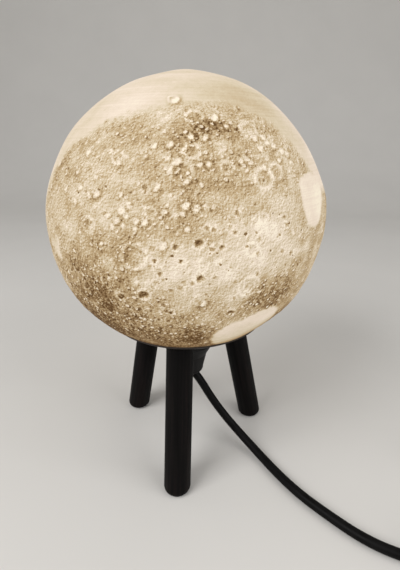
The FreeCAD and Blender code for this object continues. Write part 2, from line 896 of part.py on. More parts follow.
CASE_LOW = ("switch_x - switch_length / 2", "switch_y - switch_width / 2")
CASE_HIGH = ("switch_x + switch_length / 2", "switch_y + switch_width / 2")
CAVITY_LOW = tuple(f"{low} + switch_wall" for low in CASE_LOW)
CAVITY_HIGH = tuple(f"{high} - switch_wall" for high in CASE_HIGH)
POSTS = (
    ("near", "switch_x - post_x", "switch_y + post_y"),
    ("far", "switch_x + post_x", "switch_y - post_y"),
)

cord_way = rod(
    "switch_cord_way",
    "cord_radius + entry_clearance",
    "switch_length",
    ("switch_x - switch_length / 2", "switch_y", "switch_parting"),
    "x",
)


def case_half(label, low, high, cavity_low, cavity_high):
    """One half of the case, as a hollow block with rounded corners."""
    block = box(label + "_block", (*CASE_LOW, low), (*CASE_HIGH, high))
    block = rounded(label + "_rounded", block, "switch_corner", upright)
    if high == "switch_height":
        block = rounded(label + "_eased", block, "switch_edge", at_level(size("switch_height")))
    cavity = box(label + "_cavity_block", (*CAVITY_LOW, cavity_low), (*CAVITY_HIGH, cavity_high))
    cavity = rounded(label + "_cavity", cavity, "cavity_corner", upright)
    return cut(label + "_hollow", block, cavity)


base_posts = []
cover_posts = []
base_holes = []
cover_holes = []
case_screws = []
for which, x, y in POSTS:
    base_posts.append(
        rod(
            f"base_post_{which}",
            "head_post_diameter / 2",
            "switch_parting - switch_wall / 2",
            (x, y, "switch_wall / 2"),
        )
    )
    cover_posts.append(
        rod(
            f"cover_post_{which}",
            "post_diameter / 2",
            "case_ceiling + switch_wall / 2 - switch_parting",
            (x, y, "switch_parting"),
        )
    )
    hole_radius = "(case_screw_diameter + case_hole_clearance) / 2"
    base_holes.append(rod(f"case_hole_{which}", hole_radius, "switch_parting + 1", (x, y, -1)))
    recess_radius = "(case_head_diameter + case_hole_clearance) / 2"
    base_holes.append(rod(f"case_recess_{which}", recess_radius, "case_recess + 1", (x, y, -1)))
    thread_radius = "case_screw_diameter / 2 + case_thread_clearance"
    cover_holes.append(
        rod(
            f"case_thread_{which}",
            thread_radius,
            "case_recess + case_screw_length",
            (x, y, "case_thread_clearance"),
        )
    )
    head = rod(
        f"case_head_{which}",
        "case_head_diameter / 2",
        "case_head_height",
        (x, y, "case_recess - case_head_height"),
    )
    shank = rod(
        f"case_shank_{which}",
        "case_screw_diameter / 2",
        "case_screw_length + case_head_height / 2",
        (x, y, "case_recess - case_head_height / 2"),
    )
    case_screws.append(joined(f"case_screw_{which}", head, shank))

base_levels = ("0", "switch_parting", "switch_wall", "switch_parting + 1")
base_hollow = case_half("switch_base", *base_levels)
base_posted = joined("switch_base_posted", base_hollow, *base_posts)
node(cut("switch_base", base_posted, cord_way, *base_holes), "switch_base")

cover_levels = ("switch_parting", "switch_height", "switch_parting - 1", "case_ceiling")
cover_hollow = case_half("switch_cover", *cover_levels)
lugs = []
for side, sign in (("left", 1), ("right", -1)):
    near = f"switch_y + {sign} * window_half_width"
    far = f"switch_y + {sign} * pin_half_length"
    low_y, high_y = (near, far) if sign > 0 else (far, near)
    lugs.append(
        box(
            f"rocker_lug_{side}",
            ("switch_x - lug_width / 2", low_y, "rocker_pin_height - lug_width / 2"),
            ("switch_x + lug_width / 2", high_y, "case_ceiling + switch_wall / 2"),
        )
    )
cover_posted = joined("switch_cover_posted", cover_hollow, *cover_posts, *lugs)
window = box(
    "rocker_window",
    ("switch_x - window_half_length", "switch_y - window_half_width", "case_ceiling - switch_wall"),
    ("switch_x + window_half_length", "switch_y + window_half_width", "switch_height + 1"),
)
pin_start = ("switch_x", "switch_y - pin_half_length", "rocker_pin_height")
way_radius = "rocker_pin_radius + pin_seat_clearance"
pin_way = rod("rocker_pin_way", way_radius, "2 * pin_half_length", pin_start, "y")
node(cut("switch_cover", cover_posted, cord_way, window, pin_way, *cover_holes), "switch_cover")
node(rod("rocker_pin", "rocker_pin_radius", "2 * pin_half_length", pin_start, "y"), "rocker_pin")
node(group("switch_screws", *case_screws), "switch_screws")

# The rocker is drawn about its pin, level, and then tipped to the side that is pressed
round_block = rod("rocker_round", "rocker_radius", "rocker_width", (0, "-rocker_half_width", 0), "y")
slab = box(
    "rocker_slab",
    ("-rocker_radius", "-rocker_width", "-rocker_depth"),
    ("rocker_radius", "rocker_width", "rocker_radius"),
)
rocker_blank = doc.addObject("Part::Common", "rocker_blank")
rocker_blank.Base = round_block
rocker_blank.Tool = slab
tops = []
for side, sign in (("near", 1), ("far", -1)):
    top = doc.addObject("Part::Box", f"rocker_top_{side}")
    bind(top, "Length", "2 * rocker_radius")
    bind(top, "Width", "2 * rocker_width")
    bind(top, "Height", "2 * rocker_radius")
    along = "0" if sign > 0 else "-2 * rocker_radius * cos(rocker_slope)"
    up = "rocker_rise" if sign > 0 else "rocker_rise + 2 * rocker_radius * sin(rocker_slope)"
    tilt = f"rotation(vector(0; 1; 0); {-sign} * rocker_slope)"
    bind(top, "Placement", f"placement(vector({along}; -rocker_width; {up}); {tilt})")
    tops.append(top)
bore_start = (0, "-rocker_width", 0)
rocker_bore = rod("rocker_bore", "rocker_pin_radius + rocker_pin_play", "2 * rocker_width", bore_start, "y")
rocker = cut("switch_rocker", rocker_blank, *tops, rocker_bore)
pressed = "rotation(vector(0; 1; 0); rocker_slope)"
bind(rocker, "Placement", f"placement(vector(switch_x; switch_y; rocker_pin_height); {pressed})")
node(rocker, "switch_rocker")

blocks = []
live_wires = []
wire_y = "switch_y - wire_spacing / 2"
for side, sign in (("near", -1), ("far", 1)):
    near = f"switch_x + {sign} * block_inner"
    far = f"switch_x + {sign} * (block_inner + block_length)"
    low_x, high_x = (near, far) if sign > 0 else (far, near)
    blocks.append(
        box(
            f"contact_block_{side}",
            (low_x, "switch_y - block_aside - block_width", "switch_wall"),
            (high_x, "switch_y - block_aside", "block_top"),
        )
    )
    wire_low = far if sign > 0 else "switch_x - cord_end_offset"
    reach = "cord_end_offset - block_inner - block_length"
    wire_start = (wire_low, wire_y, "switch_parting")
    live_wires.append(rod(f"live_wire_{side}", "wire_radius", reach, wire_start, "x"))
neutral_start = ("switch_x - cord_end_offset", "switch_y + wire_spacing / 2", "switch_parting")
neutral = rod("neutral_wire", "wire_radius", "2 * cord_end_offset", neutral_start, "x")
node(group("switch_contacts", *blocks), "switch_contacts")
node(group("switch_wires", *live_wires, neutral), "switch_wires")

# Plug, drawn with the cord's end at the origin and the pins along +X, then turned to point to +Y

PLUG_PLACE = "placement(vector(plug_x; plug_y; plug_height); rotation(vector(0; 0; 1); 90))"


def plug_section(x, width, thickness):
    """A cross section of the plug's body: a rectangle with rounded corners."""
    bend = min(size("plug_rounding"), 0.45 * thickness)
    across = width / 2
    up = thickness / 2
    edges = []
    corners = ((1, 1), (-1, 1), (-1, -1), (1, -1))
    arcs = []
    for k, (sy, sz) in enumerate(corners):
        centre = Vector(x, sy * (across - bend), sz * (up - bend))
        angles = [math.radians(90 * k + step) for step in (0, 45, 90)]
        arcs.append([centre + Vector(0, math.cos(a), math.sin(a)) * bend for a in angles])
    for k, arc in enumerate(arcs):
        edges.append(Part.Arc(*arc).toShape())
        edges.append(Part.LineSegment(arc[2], arcs[(k + 1) % 4][0]).toShape())
    return Part.Wire(edges)


sleeve_length = size("plug_sleeve_length")
shoulder_end = sleeve_length + size("plug_shoulder")
plug_loft = Part.makeLoft(
    [
        plug_section(sleeve_length, size("plug_rear_width"), size("plug_rear_thickness")),
        plug_section(shoulder_end, size("plug_width"), size("plug_thickness")),
        plug_section(size("plug_body_front"), size("plug_width"), size("plug_thickness")),
    ],
    True,
    True,
)
plug_block = built("plug_block", plug_loft)
plug_sleeve = doc.addObject("Part::Cone", "plug_sleeve")
plug_sleeve.Placement = FreeCAD.Placement(Vector(), TURN_TO["x"])
bind(plug_sleeve, "Radius1", "plug_sleeve_small_diameter / 2")
bind(plug_sleeve, "Radius2", "plug_sleeve_diameter / 2")
bind(plug_sleeve, "Height", "plug_sleeve_length + plug_shoulder / 4")
plug_bore = rod("plug_bore", "cord_bore", "plug_cord_depth", (0, 0, 0), "x")
pins = []
pin_sleeves = []
pin_ways = []
core_radius = "plug_pin_core_diameter / 2"
sleeve_reach = "plug_pin_depth + pin_sleeve_length"
for side, sign in (("left", 1), ("right", -1)):
    across = f"{sign} * plug_pin_spacing / 2"
    root = ("plug_body_front - plug_pin_depth", across, 0)
    bare = ("plug_body_front + pin_sleeve_length", across, 0)
    core = rod(f"plug_pin_core_{side}", core_radius, "plug_pin_depth + plug_pin_length - 1", root, "x")
    bare_length = "plug_pin_length - pin_sleeve_length"
    tip = rod(f"plug_pin_tip_{side}", "plug_pin_diameter / 2", bare_length, bare, "x")
    pins.append(joined(f"plug_pin_{side}", core, tip))
    skin = rod(f"pin_skin_{side}", "pin_sleeve_diameter / 2", sleeve_reach, root, "x")
    way = rod(f"pin_core_way_{side}", core_radius + " + plug_pin_clearance", sleeve_reach, root, "x")
    pin_sleeves.append(cut(f"pin_sleeve_{side}", skin, way))
    way_radius = "pin_sleeve_diameter / 2 + plug_pin_clearance"
    pin_ways.append(rod(f"plug_pin_way_{side}", way_radius, sleeve_reach, root, "x"))
plug = cut("plug_body", joined("plug_solid", plug_block, plug_sleeve), plug_bore, *pin_ways)
bind(plug, "Placement", PLUG_PLACE)
node(plug, "plug_body")
plug_pins = group("plug_pins", *pins)
bind(plug_pins, "Placement", PLUG_PLACE)
node(plug_pins, "plug_pins")
sleeves = group("pin_sleeves", *pin_sleeves)
bind(sleeves, "Placement", PLUG_PLACE)
node(sleeves, "pin_sleeves")

# Cord: from the holder to the switch, on to the coil, the coil, and its tail to the plug

cord_radius = size("cord_radius")
parting = size("switch_parting")
switch_middle = Vector(size("switch_x"), size("switch_y"), parting)
cord_end = Vector(size("cord_end_offset"), 0, 0)
coil_wire = coil_path()
coil_start = coil_wire.OrderedVertexes[0].Point
coil_finish = coil_wire.OrderedVertexes[-1].Point
plug_end = Vector(size("plug_x"), size("plug_y") + size("plug_cord_depth"), size("plug_height"))

lamp_route = ((0, 0, size("cord_top")), *LAMP_CORD_POINTS, tuple(switch_middle - cord_end))
lead_in = coil_start - coil_heading(0) * size("coil_lead")
lead_out = coil_finish + coil_heading(COIL_END) * size("coil_lead_out")
lead_route = (tuple(switch_middle + cord_end), *MAINS_LEAD_POINTS, tuple(lead_in), tuple(coil_start))
tail_route = (tuple(coil_finish), tuple(lead_out), *TAIL_POINTS, tuple(plug_end))
node(swept("lamp_cord", bent_path("lamp_cord", lamp_route), cord_radius), "lamp_cord")
node(swept("mains_lead", bent_path("mains_lead", lead_route), cord_radius), "mains_lead")
node(swept("cord_coil", coil_wire, cord_radius), "cord_coil")
node(swept("cord_tail", bent_path("cord_tail", tail_route), cord_radius), "cord_tail")
print(f"cord_coil: least gap between its turns {self_gap(coil_wire, 2 * cord_radius):.2f} mm")

# Tie round the turns at the side of the coil that faces the lamp

quarter = [coil_point(math.pi + 2 * math.pi * k) for k in range(round(COIL_END / (2 * math.pi)))]
reaches = [size("coil_x") - p.x for p in quarter]
spare = cord_radius + size("tie_gap")
bow = min(reaches) - math.sqrt(min(reaches) ** 2 - size("tie_width") ** 2 / 4)
tie_low = Vector(size("coil_x") - max(reaches) - spare, 0, min(p.z for p in quarter) - spare)
tie_high = Vector(size("coil_x") - min(reaches) + bow + spare, 0, max(p.z for p in quarter) + spare)


def tie_loop(grow):
    """The tie's outline across the turns, grown outwards, as a solid of the tie's width."""
    low = tie_low - Vector(grow, 0, grow)
    high = tie_high + Vector(grow, 0, grow)
    width = size("tie_width")
    corner = Vector(low.x, size("coil_y") - width / 2, low.z)
    block = Part.makeBox(high.x - low.x, width, high.z - low.z, corner)
    along = [e for e in block.Edges if e.BoundBox.YLength > width / 2]
    return block.makeFillet(size("tie_rounding") + grow, along)


node(built("coil_tie", tie_loop(size("tie_thickness")).cut(tie_loop(0))), "coil_tie")

# Every object is recomputed and tested before anything is written

doc.recompute()
for obj in doc.Objects:
    if "Invalid" in obj.State or "Error" in obj.State:
        raise RuntimeError(f"{obj.Label} failed: {obj.State}")
for obj in NODES:
    if obj.Shape.isNull() or not obj.Shape.isValid() or obj.Shape.Volume <= 0:
        raise RuntimeError(f"{obj.Label} has no sound shape")

os.makedirs("parts", exist_ok=True)
for obj in NODES:
    obj.Shape.exportStep(f"parts/{obj.Label}.step")
print(len(NODES), "sub-parts written")
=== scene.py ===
import math

import bmesh
import bpy
import numpy as np
from bpy.props import FloatProperty, FloatVectorProperty, IntProperty, PointerProperty
from bpy.types import Operator, Panel, PropertyGroup
from mathutils import Euler, Matrix, Vector


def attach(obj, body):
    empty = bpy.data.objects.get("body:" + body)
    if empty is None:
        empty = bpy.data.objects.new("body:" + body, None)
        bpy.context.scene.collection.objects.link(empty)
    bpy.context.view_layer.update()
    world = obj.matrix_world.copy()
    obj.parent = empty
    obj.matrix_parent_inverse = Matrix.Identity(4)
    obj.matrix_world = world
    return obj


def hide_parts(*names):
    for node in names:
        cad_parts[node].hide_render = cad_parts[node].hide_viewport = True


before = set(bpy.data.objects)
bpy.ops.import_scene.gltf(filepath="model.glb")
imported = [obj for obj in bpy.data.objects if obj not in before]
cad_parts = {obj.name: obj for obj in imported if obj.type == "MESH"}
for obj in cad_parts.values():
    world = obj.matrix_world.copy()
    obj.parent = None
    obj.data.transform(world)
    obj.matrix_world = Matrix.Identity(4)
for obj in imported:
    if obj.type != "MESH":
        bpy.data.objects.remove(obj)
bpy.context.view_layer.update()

bl_info = {
    "name": "Planet lamp",
    "version": (1, 0, 0),
    "blender": (4, 5, 0),
    "location": "3D View > Sidebar > Planet lamp",
    "description": "Dresses the planet lamp's frame with its finished pieces",
    "category": "Object",
}

MM = 0.001


def shade(red, green, blue):
    """A colour as it is seen on a screen, 0 to 255, in the renderer's linear values."""
    parts = [c / 255 for c in (red, green, blue)]
    return tuple(c / 12.92 if c <= 0.04045 else ((c + 0.055) / 1.055) ** 2.4 for c in parts)


def opaque(colour):
    """A colour with its alpha."""
    return (*colour[:3], 1.0)


def tinted(colour, share, lift=0.0):
    """A colour made darker or lighter by a share, and lifted a little."""
    return [c * share + lift for c in colour[:3]]


# ------------------------------------------------------------ sizes of the lamp, in metres
GLOBE_CENTRE = Vector((0, 0, 198)) * MM
GLOBE_RADIUS_MM = 100.0
GLOBE_RADIUS = GLOBE_RADIUS_MM * MM
GLOBE_INNER_RADIUS = 97 * MM
GLOBE_RIM_LEVEL = 118 * MM
LEG_SPLAY = math.radians(12)
LEG_TURNS = {"leg_front": -90, "leg_right": 30, "leg_left": 150}
FOOT_CIRCLE = 63.48 * MM
LEG_SCREW_SEAT = 122.77 * MM
RING_RADIUS = 25 * MM
RING_LEVELS = (106.1 * MM, 127.0 * MM)
BULB_CAP_LEVELS = (114.0 * MM, 134.1 * MM)
BULB_CAP_RADIUS = 12.55 * MM
DOME_LEVELS = (175 * MM, 208 * MM)
FIN_RADIUS = 21.4 * MM
FIN_LEVEL = 156.0 * MM
FIN_LEAN = math.atan2(13.9, 32.5)
ROCKER_TILT = math.radians(16)
ON_MARK_SPOT = Vector((224.6, -101, 19.37)) * MM
OFF_MARK_SPOT = Vector((216.2, -101, 20.55)) * MM
CORD_DIAMETER = 6.8 * MM

# Routes of the cords and places on the plug, in millimetres.
LAMP_CORD_POINTS = (
    (0, 0, 89.6), (0, 0, 74.5), (4, -1.7, 63.5), (11.5, -3.7, 55), (20.5, -3.5, 38.5),
    (32.5, -5.5, 22.5), (46.5, -12, 10.5), (60.5, -24, 4), (75, -43.5, 3.5), (90.5, -61.5, 3.5),
    (107.5, -76, 3.5), (127.5, -91.2, 3.5), (148, -99.7, 3.5), (167, -104, 5.5), (182, -101, 10),
    (196, -101, 10),
)
LEAD_POINTS = ((244, -101, 10), (260, -101, 10), (278.5, -93.5, 8), (293, -79, 5.8))
PLUG_X, PLUG_LEVEL = 301, 6.85
TAIL_POINTS = ((300.8, -2.5, 8.6), (PLUG_X, 10, 5.7), (PLUG_X, 24, PLUG_LEVEL),
               (PLUG_X, 38, PLUG_LEVEL))
COIL_CENTRE = (253.5, -34.0)
COIL_RADIUS = 46.5
COIL_PITCH = 7.4
COIL_LAYER = 7.4
COIL_LOW = 4.9
COIL_IN = 2 * math.pi * 2.75
COIL_END = 2 * COIL_IN + math.pi
COIL_LEAD = 19.6
COIL_LEAD_OUT = 12.0
COIL_POINTS_PER_TURN = 24
PLUG_HALF_WIDTH = 17.3
PLUG_RIBS_START, PLUG_RIBS_LENGTH = 65.5, 15.0
PLUG_RING_COUNT, PLUG_RINGS_START, PLUG_RING_STEP, PLUG_RING_GROWTH = 5, 33.2, 3.4, 0.031

# ------------------------------------------------------------ stage, in metres and radians
FLOOR_LEVEL = -0.0005
FLOOR_FRONT = -3.0
FLOOR_HALF_WIDTH = 5.0
BACKDROP_FOOT = 1.1
BACKDROP_ROUNDING, BACKDROP_STEPS = 0.9, 12
BACKDROP_TOP = 4.0
KEY_SPOT, KEY_SIZE = (-0.85, -0.95, 1.15), 0.9
FILL_SPOT, FILL_SIZE = (1.0, -0.55, 0.75), 1.0
LIGHT_AIM = Vector((0.03, -0.02, 0.15))
SKY_TINT = (1.0, 0.99, 0.975, 1.0)
FAR_FLOOR_SHARE = 0.93
CAMERA_SPOT = (0.042553, -0.290692, 0.251102)
CAMERA_TURN = [math.radians(a) for a in (73.338, 0.0057, 6.3363)]
CAMERA_LENS = 24.4376
CAMERA_SHIFT = -0.04737

# ------------------------------------------------------------ colours of metals and boards
STEEL = (0.55, 0.54, 0.52)
DULL_STEEL = (0.5, 0.49, 0.47)
BRASS = (0.72, 0.53, 0.24)
NICKEL = (0.62, 0.60, 0.57)
PLATED_PIN = (0.74, 0.70, 0.62)
WHITE_BOARD, WHITE_BOARD_PADS = (0.62, 0.62, 0.6), (0.72, 0.7, 0.62)

# ------------------------------------------------------------ relief of the globe
# Each crater: turn about the upright axis and height angle in degrees, and radius in millimetres.
BRIGHT_CRATERS = (
    (-87, 49, 2.9), (-119.5, 28.5, 1.8), (-122.5, 22, 1.8), (-127.5, 16, 1.8), (-119.5, 17, 1.7),
    (-111.5, 15.5, 2.2), (-114.5, 14.5, 1.4), (-121, 12.5, 1.5), (-104.5, 25, 1.4), (-109, 29, 1.4),
    (-93, 31, 1.9), (-87.5, 31.5, 2.1), (-88, 27, 1.6), (-84.5, 26, 2.1), (-80, 34, 2.1),
    (-75, 34, 2.2), (-91, 18.5, 2.1), (-81.5, 20, 1.5), (-82, 13, 2.3), (-102.5, 15.5, 1.3),
    (-70.5, 41, 2.5), (-66, 37.5, 1.7), (-74.5, 25, 1.6), (-77.5, 25, 1.6), (-63, 26, 1.6),
    (-61, 26.5, 1.6), (-59.5, 25.5, 1.6), (-54, 30, 1.7), (-107, 9.5, 1.6), (-102, 11, 2.1),
    (-103.5, 8, 1.9), (-100.5, 9.5, 1.6), (-97, 8, 1.8), (-94.5, 8, 2.1), (-105, 6, 1.4),
    (-101.5, 6.5, 1.3), (-97.5, 6, 1.3), (-88.5, 11, 1.5), (-83, 10.5, 1.5), (-81.5, 6, 1.5),
    (-89, 1, 2.1), (-79, 12, 2), (-55.1, 33.5, 1.7), (-51.2, 34, 1.6), (-47.1, 30.8, 1.9),
    (-43.9, 29.1, 1.8), (-46.6, 25.9, 1.5), (-41.4, 27.8, 1.8), (-40.8, 24.8, 1.5),
    (-50, 31.9, 1.5),
)
RING_CRATERS = (
    (-105.5, 27, 3.3), (-78, 41, 4.4), (-79.5, 29, 3.7), (-83, 22.5, 5.7), (-68, 24, 3.2),
    (-55, 20, 5.5), (-49.5, 22, 4.3), (-98, -3, 7), (-60.5, -14.5, 6.4), (-60.5, -14.5, 3.6),
    (-61, -1.5, 3.5), (-92.5, 10.5, 2.8), (-77, -6.5, 1.9), (-72, -4.5, 1.9), (-68.5, 6, 2.1),
    (-57, 8, 2.7),
)
DARK_PITS = (
    (-77.5, -10, 2.6), (-78, 1.5, 2.5), (-96, -16.5, 3.4), (-104.5, -18, 2.4), (-99, -23, 1.8),
    (-65.5, -25, 2.4), (-74, -0.5, 1.4), (-71, 0, 1.7), (-75.5, 6, 1.5), (-73.5, 5.5, 1.3),
    (-66, 10, 1.6), (-67, 4.5, 1.4), (-59, -3, 1.7), (-58.5, 2, 1.1), (-49, -3.5, 1.5),
    (-44.5, -5, 1.7), (-91.5, -4, 1.6), (-90, -8.5, 1.5), (-85, 0.5, 1.8), (-83.5, -4, 1.4),
    (-87, -14, 1.3), (-93, -13, 1.1), (-90, -20, 1.4), (-89, -23, 1.2), (-87.5, -23.5, 1.3),
    (-92.5, -27.5, 1.3), (-89, -28, 1.3), (-82.5, -37, 1.7), (-115, -23, 1.9), (-65.5, -18.5, 1.4),
    (-48.5, 7.5, 1.5), (-47.5, 5, 1.5), (-73, -9.5, 1.3), (-68, -6.5, 1.1), (-74.5, -12, 1.1),
    (-75.5, -16, 1.1), (-98, -19.5, 1), (-93.5, -1.5, 0.9), (-61.5, 36.5, 1.8),
)
# Broad zones of the cratered face, the dark ones low on the left partly painted shade at the
# globe's edge: turn, height angle, half-width in degrees, change of tone.
TONE_ZONES = (
    (-80.7, -5.7, 11, 0.16), (-91, -6, 8, 0.10), (-55, 5, 12, 0.12), (-60, -3, 9, 0.12),
    (-70, -9, 10, 0.12), (-89, 41.5, 6, 0.06), (-68.5, 30.8, 4, 0.10), (-83, 35, 3, -0.07),
    (-78, 36, 3.4, -0.11), (-73, 36.5, 3.6, -0.15), (-68.3, 37, 3.6, -0.16),
    (-64, 37.5, 3.8, -0.18), (-61.5, 34.5, 3.6, -0.15), (-59.5, 30.5, 3.6, -0.19),
    (-56, 28, 3.2, -0.08), (-54.4, 33.6, 4, 0.06), (-49, 30.4, 4, 0.14), (-43, 26.5, 4, 0.12),
    (-54.5, 40, 5, -0.05), (-47, 42, 4, -0.10), (-40, 37, 4, -0.08), (-78.6, 19, 10, -0.08),
    (-94, 4.5, 10, -0.09), (-83, 6, 7, -0.08), (-105, 2, 8, -0.10), (-116.4, -15, 12, -0.24),
    (-127, -13, 9, -0.08), (-114, -22, 11, -0.16), (-137, -32, 15, -0.32), (-84, -33, 12, -0.13),
    (-102, -32, 12, -0.17), (-43.5, -21, 10, -0.24), (-54, -21, 7, -0.14), (-28, -9, 6, -0.04),
    (-131, 25, 11, -0.06), (-108, 38, 8, -0.05), (-119, -38, 12, -0.20), (-107, -22, 8, -0.08),
    (-115, 22, 14, 0.04), (-104, 11, 11, 0.10), (-51, 20, 5, -0.06), (-46, -4, 8, 0.12),
    (-132, 8, 10, 0.06), (-102, -11, 8, -0.08), (-74, -37, 6, -0.18), (-69, 26, 11, -0.06),
    (-122, -3, 7, 0.05), (-55, -24, 6, -0.06), (-112, -44, 9, -0.08), (-8, 6, 9, -0.12),
    # back of the globe
    (20, 20, 18, -0.14), (55, -10, 20, 0.14), (85, 8, 14, -0.12), (110, 40, 16, 0.10),
    (130, -25, 18, -0.15), (70, 35, 14, -0.12), (60, -40, 18, -0.16), (100, -35, 14, 0.10),
)
# Smooth bright patches: how clear each is, and its outline in turn and height angle.
SMOOTH_PATCHES = (
    (1.0, ((-37, 19.8), (-39, 17.5), (-38.6, 13.5), (-37.6, 9), (-35.8, 4.6), (-32.5, 2.4),
           (-26, 2), (-22.6, 5), (-20.6, 9), (-18.4, 13.5), (-18.6, 18), (-28.4, 21))),
    (1.0, ((-70, -43), (-70, -37), (-66, -32.8), (-57.6, -29.6), (-50.7, -27.4), (-43.5, -27.8),
           (-37.5, -31), (-35, -40), (-39, -50), (-52, -55), (-66, -51))),
    (0.6, ((-132.5, 1), (-139, -4), (-138, -9), (-133.5, -10))),
    (0.8, ((145, -26), (151, -36), (163, -30), (171, -18), (163, -12), (153, -18))),
    (0.7, ((55, 10), (60, -2), (66, -3), (77, 4), (73, 16), (66, 20))),
)
# Swells and hollows of the outline: turn, height angle and half-width in degrees, height in
# millimetres.
SWELLS = (
    (-35, -47, 11, -0.5), (-23, -33, 10, 1.0), (-17, -19, 10, 0.7), (-12, -4, 9, 1.5),
    (-10, 9, 8, 1.4), (-9, 41, 14, -0.8), (-31, 75, 9, -0.4), (-80, 81, 6, 0.3),
    (-131, 75, 8, -1.0), (-149, 62, 11, -0.8), (-154, 46, 11, -0.9), (-155, 27, 11, -0.4),
    (-148, -15, 9, 0.4), (-141, -32, 10, 0.7), (-127, -48, 11, 0.5), (60, 30, 16, 0.9),
    (120, -5, 18, -0.8), (35, -35, 15, 0.7),
)
# Bends of the pale belt's edges: turn, height angle, half-width and shift, all in degrees.
BELT_BENDS = ((-104, 40, 22.0, -5.0), (-152, 19, 12.0, 4.0), (-8, 6, 12.0, 15.0))
# Shades on the smooth zones: turn, height angle, half-width in degrees, change of tone.
CALM_SHADES = ((-49, 47, 19.0, -0.25), (-28, 9, 12.0, 0.09), (-142, 37, 17.0, -0.11))
# Middle of the face that the camera sees, the axis that the pale belt goes round, and the angles
# off that axis between which the belt lies.
FACE = (-81.7, 10.2)
PALE_AXIS = (95.6, 17.1)
PALE_FROM = 72.0
PALE_TO = 112.0
# Tone of the plains and of the smooth zones, and the relief's lowest and highest, in millimetres.
PLAIN_TONE = 0.6
CALM_TONE = 0.87
RELIEF_RANGE = (-2.4, 2.0)
# The wall's smooth inside has one ring and column for this many of the outside's, and one finish.
INNER_STEP = 4
INNER_FINISH = {"tone": 0.8, "calm": 1.0, "plain": 0.8}
# How much closer the grid's columns stand in front, and the gap between columns at the globe's
# widest, in millimetres, above which a crater counts as behind.
FRONT_CROWDING = 0.45
BEHIND_FINENESS = 1.9
# How far a crater's outline strays from a circle.
RING_STRAY, SCATTERED_STRAY, NAMED_STRAY = 0.03, 0.13, 0.08
# Small craters of the print: cells to the metre, radius in metres, share of cells that hold one.
WIDE_DOTS = (290.0, 0.00112, 0.72)
FINE_DOTS = (520.0, 0.00064, 0.8)
SMALL_PITS = (215.0, 0.00095, 0.5)


def colour_choice(name, description, default):
    """A colour that a user may change."""
    return FloatVectorProperty(name=name, description=description, default=default,
                               subtype="COLOR", size=3, min=0, max=1)


class StageSettings(PropertyGroup):
    """Floor and light."""

    floor_colour: colour_choice(
        "Floor colour", "Colour of the floor and backdrop", (0.66, 0.645, 0.62))
    key_power: FloatProperty(
        name="Key light", description="Power of the large light at the upper left",
        unit="POWER", default=17.0, min=0)
    fill_power: FloatProperty(
        name="Fill light", description="Power of the soft light at the right",
        unit="POWER", default=7.0, min=0)
    sky_strength: FloatProperty(
        name="Sky", description="Strength of the even light from all round",
        default=0.5, min=0)


class GlobeSettings(PropertyGroup):
    """Relief and glow of the globe."""

    rings: IntProperty(
        name="Rings", description="Rings of faces from the top to the rim", default=240, min=24)
    segments: IntProperty(
        name="Segments", description="Faces round the globe, a multiple of four",
        default=384, min=48, step=4)
    crater_count: IntProperty(
        name="Small craters", description="Small craters scattered over the globe",
        default=2300, min=0)
    seed: IntProperty(name="Seed", description="Seed of the scattered craters", default=17)
    relief: FloatProperty(
        name="Relief", description="Depth of the relief, as a share of the modelled one",
        subtype="FACTOR", default=1.0, min=0, max=2)
    glow: FloatProperty(
        name="Glow", description="Light that comes through the wall", default=0.615, min=0)
    deep_colour: colour_choice("Deep colour", "Darkest brown of the relief", shade(98, 70, 40))
    brown_colour: colour_choice("Brown colour", "Brown of the lower plains", shade(146, 117, 80))
    tan_colour: colour_choice("Tan colour", "Tan of the cratered face", shade(195, 169, 129))
    sand_colour: colour_choice(
        "Sand colour", "Light sand of the bright plains", shade(221, 205, 176))
    pale_colour: colour_choice("Pale colour", "Smooth pale zones", shade(242, 225, 206))
    bright_colour: colour_choice(
        "Bright colour", "Crater floors that let most light through", shade(255, 243, 220))


class StandSettings(PropertyGroup):
    """Legs, base and lamp holder."""

    stain_colour: colour_choice("Stain", "Dark stain of the legs", shade(12, 10, 10))
    grain_colour: colour_choice("Grain", "Wood that shows through the stain", shade(26, 19, 18))
    base_colour: colour_choice("Base", "Moulded base under the globe", shade(45, 36, 30))
    holder_colour: colour_choice("Holder", "Black plastic of the lamp holder", shade(19, 18, 18))
    ring_ribs: IntProperty(
        name="Ring ribs", description="Grip ribs round each clamp ring", default=40, min=3)


class CordSettings(PropertyGroup):
    """Mains cord."""

    diameter: FloatProperty(
        name="Diameter", description="Diameter of the cord", unit="LENGTH",
        default=CORD_DIAMETER, min=0.001)
    lamp_length: FloatProperty(
        name="Lamp side", description="Cord from the holder to the switch", unit="LENGTH",
        default=0.282, min=0.05)
    mains_length: FloatProperty(
        name="Mains side", description="Cord from the switch to the plug", unit="LENGTH",
        default=1.512, min=0.05)
    sheath_colour: colour_choice("Sheath", "Colour of the cord's sheath", shade(11, 10, 10))


class BulbSettings(PropertyGroup):
    """Lamp bulb."""

    thread_pitch: FloatProperty(
        name="Thread pitch", description="Pitch of the screw cap", unit="LENGTH",
        default=3.62 * MM, min=0.001)
    fins: IntProperty(
        name="Fins", description="Cooling fins round the housing", default=30, min=3)
    glow: FloatProperty(
        name="Glow", description="Light of the opal dome", default=0.55, min=0)
    glow_colour: colour_choice("Glow colour", "Warm light of the bulb", shade(255, 238, 210))


class FittingSettings(PropertyGroup):
    """Switch, plug and tie."""

    switch_colour: colour_choice("Switch", "Moulded case of the inline switch", shade(30, 29, 28))
    plug_colour: colour_choice("Plug", "Moulded plug", shade(27, 26, 26))
    plug_ribs: IntProperty(
        name="Plug ribs", description="Grip ribs on each side of the plug", default=7, min=1)


SETTINGS = (
    ("lamp_stage", StageSettings), ("lamp_globe", GlobeSettings), ("lamp_stand", StandSettings),
    ("lamp_cord", CordSettings), ("lamp_bulb", BulbSettings), ("lamp_fittings", FittingSettings),
)


